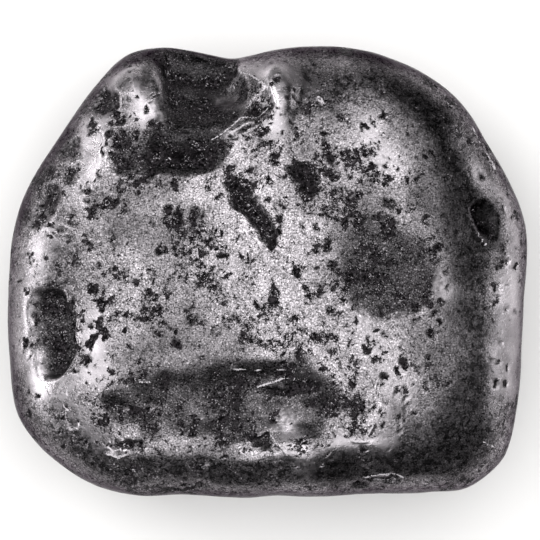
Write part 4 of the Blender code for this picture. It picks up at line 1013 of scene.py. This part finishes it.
def standing_proud(mesh, points):
    """How far each corner stands out of its surroundings: 0 in a dip, 0.5 on a level and 1 on a rise."""
    ends = np.empty(len(mesh.edges) * 2, int)
    mesh.edges.foreach_get("vertices", ends)
    one, other = ends.reshape(-1, 2).T
    count = len(points)
    neighbours = np.bincount(one, minlength=count) + np.bincount(other, minlength=count)
    smooth = points
    for _ in range(PROUD_ROUNDS):
        total = np.stack(
            [
                np.bincount(one, smooth[other, k], count) + np.bincount(other, smooth[one, k], count)
                for k in range(3)
            ],
            axis=1,
        )
        smooth = (smooth + total / neighbours[:, None]) / 2
    normals = np.empty(count * 3)
    mesh.vertices.foreach_get("normal", normals)
    out = ((points - smooth) * normals.reshape(-1, 3)).sum(axis=1)
    return (0.5 + out / (2 * PROUD_REACH)).clip(0, 1)


def mark(mesh, name, values):
    """Stores one number for each corner under a name that the finish reads."""
    mesh.attributes.new(name, "FLOAT", "POINT").data.foreach_set("value", values)


# ---- The finish ----


def link(tree, start, socket, end, entry):
    tree.links.new(start.outputs[socket], end.inputs[entry])


def feed(tree, entry, value):
    """Links a socket to an input, or sets the input to a number or to a colour."""
    if isinstance(value, (int, float)):
        entry.default_value = value
    elif isinstance(value, tuple):
        entry.default_value = (*value, 1.0)
    else:
        tree.links.new(value, entry)


def math_node(tree, operation, one, other):
    """A Math node, whose inputs are sockets or numbers. Returns its output socket."""
    node = tree.nodes.new("ShaderNodeMath")
    node.operation = operation
    feed(tree, node.inputs[0], one)
    feed(tree, node.inputs[1], other)
    return node.outputs[0]


def plus(tree, one, other):
    return math_node(tree, "ADD", one, other)


def minus(tree, one, other):
    return math_node(tree, "SUBTRACT", one, other)


def times(tree, one, other):
    return math_node(tree, "MULTIPLY", one, other)


def spread(tree, value, low, high, start=0.0, end=1.0):
    """A Map Range node that takes low to high smoothly to start to end. Returns its output socket."""
    node = tree.nodes.new("ShaderNodeMapRange")
    node.interpolation_type = "SMOOTHSTEP"
    tree.links.new(value, node.inputs["Value"])
    node.inputs["From Min"].default_value = low
    node.inputs["From Max"].default_value = high
    node.inputs["To Min"].default_value = start
    node.inputs["To Max"].default_value = end
    return node.outputs["Result"]


def mix_colours(tree, share, first, second):
    """A colour mix by share, of two sockets or colours. Returns its output socket."""
    node = tree.nodes.new("ShaderNodeMix")
    node.data_type = "RGBA"
    tree.links.new(share, node.inputs["Factor"])
    feed(tree, node.inputs[6], first)
    feed(tree, node.inputs[7], second)
    return node.outputs[2]


def mix_numbers(tree, share, first, second):
    """A number mix by share, of two sockets or numbers. Returns its output socket."""
    node = tree.nodes.new("ShaderNodeMix")
    tree.links.new(share, node.inputs["Factor"])
    feed(tree, node.inputs[2], first)
    feed(tree, node.inputs[3], second)
    return node.outputs[0]


def noise_node(tree, where, size, detail, roughness):
    """A Noise Texture whose lumps are about size across, in the units of where. Returns its value socket."""
    node = tree.nodes.new("ShaderNodeTexNoise")
    tree.links.new(where, node.inputs["Vector"])
    node.inputs["Scale"].default_value = 1 / size
    node.inputs["Detail"].default_value = detail
    node.inputs["Roughness"].default_value = roughness
    return node.outputs["Fac"]


def crumbling_group():
    """Where polished rock gives way to raw rock. Turns a soft rawness into a crumbled mask, with flecks.

    Rawness is the soft mark, Density shifts how much of the whole skin is flecked, and Crumb is the size
    of the crumbs. Mask is 0 on polished and 1 on raw rock, and Depth is the same with a wide edge.
    """
    tree = bpy.data.node_groups.new("Crumbling", "ShaderNodeTree")
    for name, kind in (("Vector", "Vector"), ("Rawness", "Float"), ("Density", "Float"), ("Crumb", "Float")):
        tree.interface.new_socket(name, in_out="INPUT", socket_type="NodeSocket" + kind)
    for name in ("Mask", "Depth"):
        tree.interface.new_socket(name, in_out="OUTPUT", socket_type="NodeSocketFloat")
    given = tree.nodes.new("NodeGroupInput")
    result = tree.nodes.new("NodeGroupOutput")
    total = times(tree, given.outputs["Rawness"], RAWNESS_GAIN)
    for scale, detail, roughness, gain in (CRUMBS, CLUSTERS):
        lumps = tree.nodes.new("ShaderNodeTexNoise")
        link(tree, given, "Vector", lumps, "Vector")
        tree.links.new(math_node(tree, "DIVIDE", scale, given.outputs["Crumb"]), lumps.inputs["Scale"])
        lumps.inputs["Detail"].default_value = detail
        lumps.inputs["Roughness"].default_value = roughness
        total = plus(tree, total, times(tree, minus(tree, lumps.outputs["Fac"], 0.5), gain))
    total = plus(tree, total, given.outputs["Density"])
    tree.links.new(spread(tree, total, *MASK_SPAN), result.inputs["Mask"])
    tree.links.new(spread(tree, total, *DEPTH_SPAN), result.inputs["Depth"])
    return tree


def read_marks(tree):
    """The output sockets of the marks on the net's corners, by name."""
    marks = {}
    for name in ("rawness", "dullness_and_shade", "proud", "ridge_highlight", "shoulder", "polish_and_painted_light"):
        node = tree.nodes.new("ShaderNodeAttribute")
        node.attribute_name = name
        marks[name] = node.outputs["Fac"]
    return marks


def fleck_density(tree, marks, mottle):
    """How densely the skin is flecked, which is less on the shoulders with painted shade and under bright
    strokes of painted light.
    """
    density = spread(tree, mottle, *MOTTLE_DENSITY)
    density = minus(tree, density, times(tree, marks["shoulder"], SHOULDER_BARENESS))
    bare = times(tree, math_node(tree, "MAXIMUM", marks["polish_and_painted_light"], 0.0), POLISH_BARENESS)
    bare = times(tree, bare, spread(tree, marks["rawness"], *FLECKED_SPAN, 1.0, 0.0))
    return minus(tree, density, bare)


def dull_and_shade_share(tree, marks, noises):
    """How dull the skin is, from 0 on the polished skin to 1 on dull rock, which is also painted shade in the
    hollows.
    """
    dulled_and_shaded = times(tree, marks["dullness_and_shade"], spread(tree, noises["mottle"], *SPAN, *DULL_MOTTLE))
    dulled_and_shaded = plus(tree, dulled_and_shaded, spread(tree, noises["blotches"], *SPAN, *DULL_BLOTCHES))
    dulled_and_shaded = plus(tree, dulled_and_shaded, spread(tree, noises["pores"], *SPAN, *DULL_PORES))
    return spread(tree, dulled_and_shaded, *DULL_SPAN)


def tone_and_painted_light(tree, marks, noises, dulled_and_shaded):
    """How bright the skin is, as a share of the polished colour, with painted highlights, glints and shade in
    it.
    """
    speckle = spread(tree, noises["grain"], *SPAN, *SPECKLE_TONES)
    tone = math_node(tree, "POWER", speckle, mix_numbers(tree, dulled_and_shaded, *SPECKLE_POWERS))
    tone = times(tree, tone, spread(tree, noises["blotches"], *SPAN, *BLOTCH_TONES))
    tone = times(tree, tone, spread(tree, noises["pores"], *PORE_TONES))
    tone = mix_numbers(tree, spread(tree, marks["polish_and_painted_light"], *EVEN_SPAN), tone, 1.0)
    # Random specks painted brighter as glints, more on dull rock.
    glints = spread(tree, noises["sparks"], *GLINT_SPAN)
    glints = times(tree, glints, mix_numbers(tree, dulled_and_shaded, *GLINT_GAINS))
    for factor in (
        spread(tree, noises["clouds"], *SPAN, *CLOUD_TONES),
        spread(tree, noises["mottle"], *MOTTLE_TONES),
        plus(tree, glints, 1.0),
        # Rises painted brighter: partly rock that tumbling wore, partly a painted highlight on rims.
        spread(tree, marks["proud"], *PROUD_TONES),
        # Dull rock is darker: partly its own dullness, partly painted shade in the hollows.
        mix_numbers(tree, dulled_and_shaded, 1.0, DULL_SHADE_TONE),
        # Painted shade on the shoulder.
        mix_numbers(tree, marks["shoulder"], 1.0, SHOULDER_SHADE_TONE),
        # Painted highlight where the strokes are plus, painted shade where they are minus.
        math_node(tree, "POWER", 2.0, marks["polish_and_painted_light"]),
    ):
        tone = times(tree, tone, factor)
    return tone


def polished_shungite(finish):
    """Carbon rock: grey and metallic where polished and standing proud, raw and dull in hollows and pits,
    with painted highlights, glints and shade.
    """
    material = bpy.data.materials.new(SLOT)
    material.use_nodes = True
    tree = material.node_tree
    shader = tree.nodes["Principled BSDF"]
    coordinates = tree.nodes.new("ShaderNodeTexCoord")
    scaled = tree.nodes.new("ShaderNodeVectorMath")
    scaled.operation = "SCALE"
    link(tree, coordinates, "Object", scaled, 0)
    scaled.inputs["Scale"].default_value = 1 / MILLIMETRE
    where = scaled.outputs["Vector"]
    marks = read_marks(tree)
    noises = {name: noise_node(tree, where, *kind) for name, kind in NOISES.items()}
    for name, (grains, *kind) in GRAIN_NOISES.items():
        noises[name] = noise_node(tree, where, finish.grain_size * grains, *kind)

    dips = spread(tree, marks["proud"], *DIP_SPAN)
    rawness = plus(tree, marks["rawness"], times(tree, dips, DIP_RAWNESS))
    crumbling = tree.nodes.new("ShaderNodeGroup")
    crumbling.node_tree = crumbling_group()
    tree.links.new(where, crumbling.inputs["Vector"])
    tree.links.new(rawness, crumbling.inputs["Rawness"])
    tree.links.new(fleck_density(tree, marks, noises["mottle"]), crumbling.inputs["Density"])
    crumbling.inputs["Crumb"].default_value = finish.crumb_size
    raw = crumbling.outputs["Mask"]

    dulled_and_shaded = dull_and_shade_share(tree, marks, noises)
    grey = tree.nodes.new("ShaderNodeVectorMath")
    grey.operation = "SCALE"
    grey.inputs[0].default_value = finish.polished_colour
    tree.links.new(tone_and_painted_light(tree, marks, noises, dulled_and_shaded), grey.inputs["Scale"])
    soot, glitter = tuple(finish.deep_colour), tuple(finish.glitter_colour)
    # The rawest rock is near black: partly its own black, partly painted shade at the bottom of pits.
    dull = mix_colours(tree, spread(tree, rawness, *DEEP_SPAN), tuple(finish.raw_colour), soot)
    dull = mix_colours(tree, spread(tree, noises["pores"], *SOOT_SPAN), soot, dull)
    # Painted glints: pale matt specks in the raw rock.
    glints = spread(tree, times(tree, noises["sparks"], noises["blotches"]), *GLITTER_SPAN)
    dull = mix_colours(tree, glints, dull, glitter)
    colour = mix_colours(tree, raw, grey.outputs["Vector"], dull)
    # A pale matt highlight painted along the ridges, broken up by noise.
    highlight_breakup = plus(tree, noises["pores"], noises["sparks"])
    broken_ridge_highlight = spread(tree, times(tree, marks["ridge_highlight"], highlight_breakup), *RIDGE_HIGHLIGHT_SPAN)
    tree.links.new(mix_colours(tree, broken_ridge_highlight, colour, glitter), shader.inputs["Base Color"])

    matt = math_node(tree, "MAXIMUM", raw, broken_ridge_highlight)
    tree.links.new(mix_numbers(tree, matt, 1.0, 0.0), shader.inputs["Metallic"])
    shader.inputs["Specular Tint"].default_value = EDGE_TINT
    shader.inputs["Specular IOR Level"].default_value = RAW_SHINE
    glossy, duller = (finish.polished_roughness + more for more in GLOSS_SPREAD)
    gloss = spread(tree, noises["blotches"], *SPAN, glossy, duller)
    gloss = plus(tree, gloss, times(tree, dulled_and_shaded, DULL_ROUGHNESS))
    tree.links.new(mix_numbers(tree, matt, gloss, finish.raw_roughness), shader.inputs["Roughness"])

    relief = times(tree, noises["grain"], GRAIN_RELIEF)
    relief = plus(tree, relief, times(tree, noises["blotches"], BLOTCH_RELIEF))
    relief = minus(tree, relief, times(tree, crumbling.outputs["Depth"], CRUMB_RELIEF))
    bump = tree.nodes.new("ShaderNodeBump")
    bump.inputs["Distance"].default_value = MILLIMETRE
    bump.inputs["Strength"].default_value = 1.0
    tree.links.new(relief, bump.inputs["Height"])
    link(tree, bump, "Normal", shader, "Normal")
    return material


def plain_floor(colour):
    material = bpy.data.materials.new("plain_floor")
    material.use_nodes = True
    shader = material.node_tree.nodes["Principled BSDF"]
    shader.inputs["Base Color"].default_value = (*colour, 1.0)
    shader.inputs["Roughness"].default_value = FLOOR_ROUGHNESS
    return material


# ---- Operators ----


class OBJECT_OT_shungite_skin(bpy.types.Operator):
    """Make the stone's skin with its hollows, pits and finish, in place of the plain solid"""

    bl_idname = "object.shungite_skin"
    bl_label = "Shungite Skin"

    def execute(self, context):
        azimuth, polar, faces = make_net()
        points, marks = carve(on_pillow(azimuth, polar), faces)
        points = settle(points)
        mesh = bpy.data.meshes.new("stone_skin")
        mesh.from_pydata((points * MILLIMETRE).tolist(), [], faces)
        mesh.shade_smooth()
        for name, values in marks.items():
            mark(mesh, name, values)
        mark(mesh, "proud", standing_proud(mesh, points))
        mesh.materials.append(polished_shungite(context.scene.stone_finish))
        skin = bpy.data.objects.new("stone_skin", mesh)
        context.scene.collection.objects.link(skin)
        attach(skin, "root")
        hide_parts(NODE)
        return {"FINISHED"}


def area_lamp(name, place, target, size, power):
    """A soft rectangular lamp at a place, facing a target. The camera doesn't see it."""
    data = bpy.data.lights.new(name, "AREA")
    data.shape = "RECTANGLE"
    data.size, data.size_y = size
    data.energy = power
    lamp = bpy.data.objects.new(name, data)
    lamp.location = place
    lamp.rotation_euler = (Vector(target) - Vector(place)).to_track_quat("-Z", "Y").to_euler()
    lamp.visible_camera = False
    bpy.context.scene.collection.objects.link(lamp)


class SCENE_OT_stone_stage(bpy.types.Operator):
    """Make the plain floor, the soft lamps and the camera that looks straight down"""

    bl_idname = "scene.stone_stage"
    bl_label = "Stone Stage"

    def execute(self, context):
        stage = context.scene.stone_stage
        half = FLOOR_SIZE / 2
        corners = [(-half, -half, 0), (half, -half, 0), (half, half, 0), (-half, half, 0)]
        mesh = bpy.data.meshes.new("floor")
        mesh.from_pydata(corners, [], [(0, 1, 2, 3)])
        mesh.materials.append(plain_floor(stage.floor_colour))
        floor = bpy.data.objects.new("floor", mesh)
        context.scene.collection.objects.link(floor)

        for name, (height, size, share) in OVERHEAD_LAMPS.items():
            place = (*OVERHEAD_PLACE, height)
            area_lamp(name, place, LAMP_TARGET, size, stage.softbox_power * share)
        for name, (place, size, power) in SIDE_LAMPS.items():
            area_lamp(name, place, LAMP_TARGET, size, power)

        world = bpy.data.worlds.new("studio")
        world.use_nodes = True
        sky = world.node_tree.nodes["Background"]
        sky.inputs["Color"].default_value = (1, 1, 1, 1)
        sky.inputs["Strength"].default_value = SKY_STRENGTH
        context.scene.world = world
        context.scene.view_settings.view_transform = "Standard"

        data = bpy.data.cameras.new("camera")
        data.sensor_width = SENSOR_WIDTH
        girdle = GIRDLE_HEIGHT * MILLIMETRE
        data.lens = SENSOR_WIDTH * (stage.camera_height - girdle) / stage.frame_width
        camera = bpy.data.objects.new("camera", data)
        camera.location = (*FRAME_CENTRE, stage.camera_height)
        context.scene.collection.objects.link(camera)
        context.scene.camera = camera
        return {"FINISHED"}


class VIEW3D_PT_shungite_stone(bpy.types.Panel):
    """The steps that make the stone and its stage, with their settings"""

    bl_label = "Shungite Stone"
    bl_idname = "VIEW3D_PT_shungite_stone"
    bl_space_type = "VIEW_3D"
    bl_region_type = "UI"
    bl_category = "Stone"

    def draw(self, context):
        for settings, operator in (
            (context.scene.stone_finish, OBJECT_OT_shungite_skin),
            (context.scene.stone_stage, SCENE_OT_stone_stage),
        ):
            box = self.layout.box()
            for name in settings.__annotations__:
                box.prop(settings, name)
            box.operator(operator.bl_idname)


CLASSES = (
    StoneFinishSettings,
    StoneStageSettings,
    OBJECT_OT_shungite_skin,
    SCENE_OT_stone_stage,
    VIEW3D_PT_shungite_stone,
)


def register():
    for cls in CLASSES:
        bpy.utils.register_class(cls)
    bpy.types.Scene.stone_finish = bpy.props.PointerProperty(type=StoneFinishSettings)
    bpy.types.Scene.stone_stage = bpy.props.PointerProperty(type=StoneStageSettings)


def unregister():
    del bpy.types.Scene.stone_stage
    del bpy.types.Scene.stone_finish
    for cls in reversed(CLASSES):
        bpy.utils.unregister_class(cls)


def main():
    register()
    bpy.ops.object.shungite_skin()
    bpy.ops.scene.stone_stage()


if __name__ == "__main__":
    main()
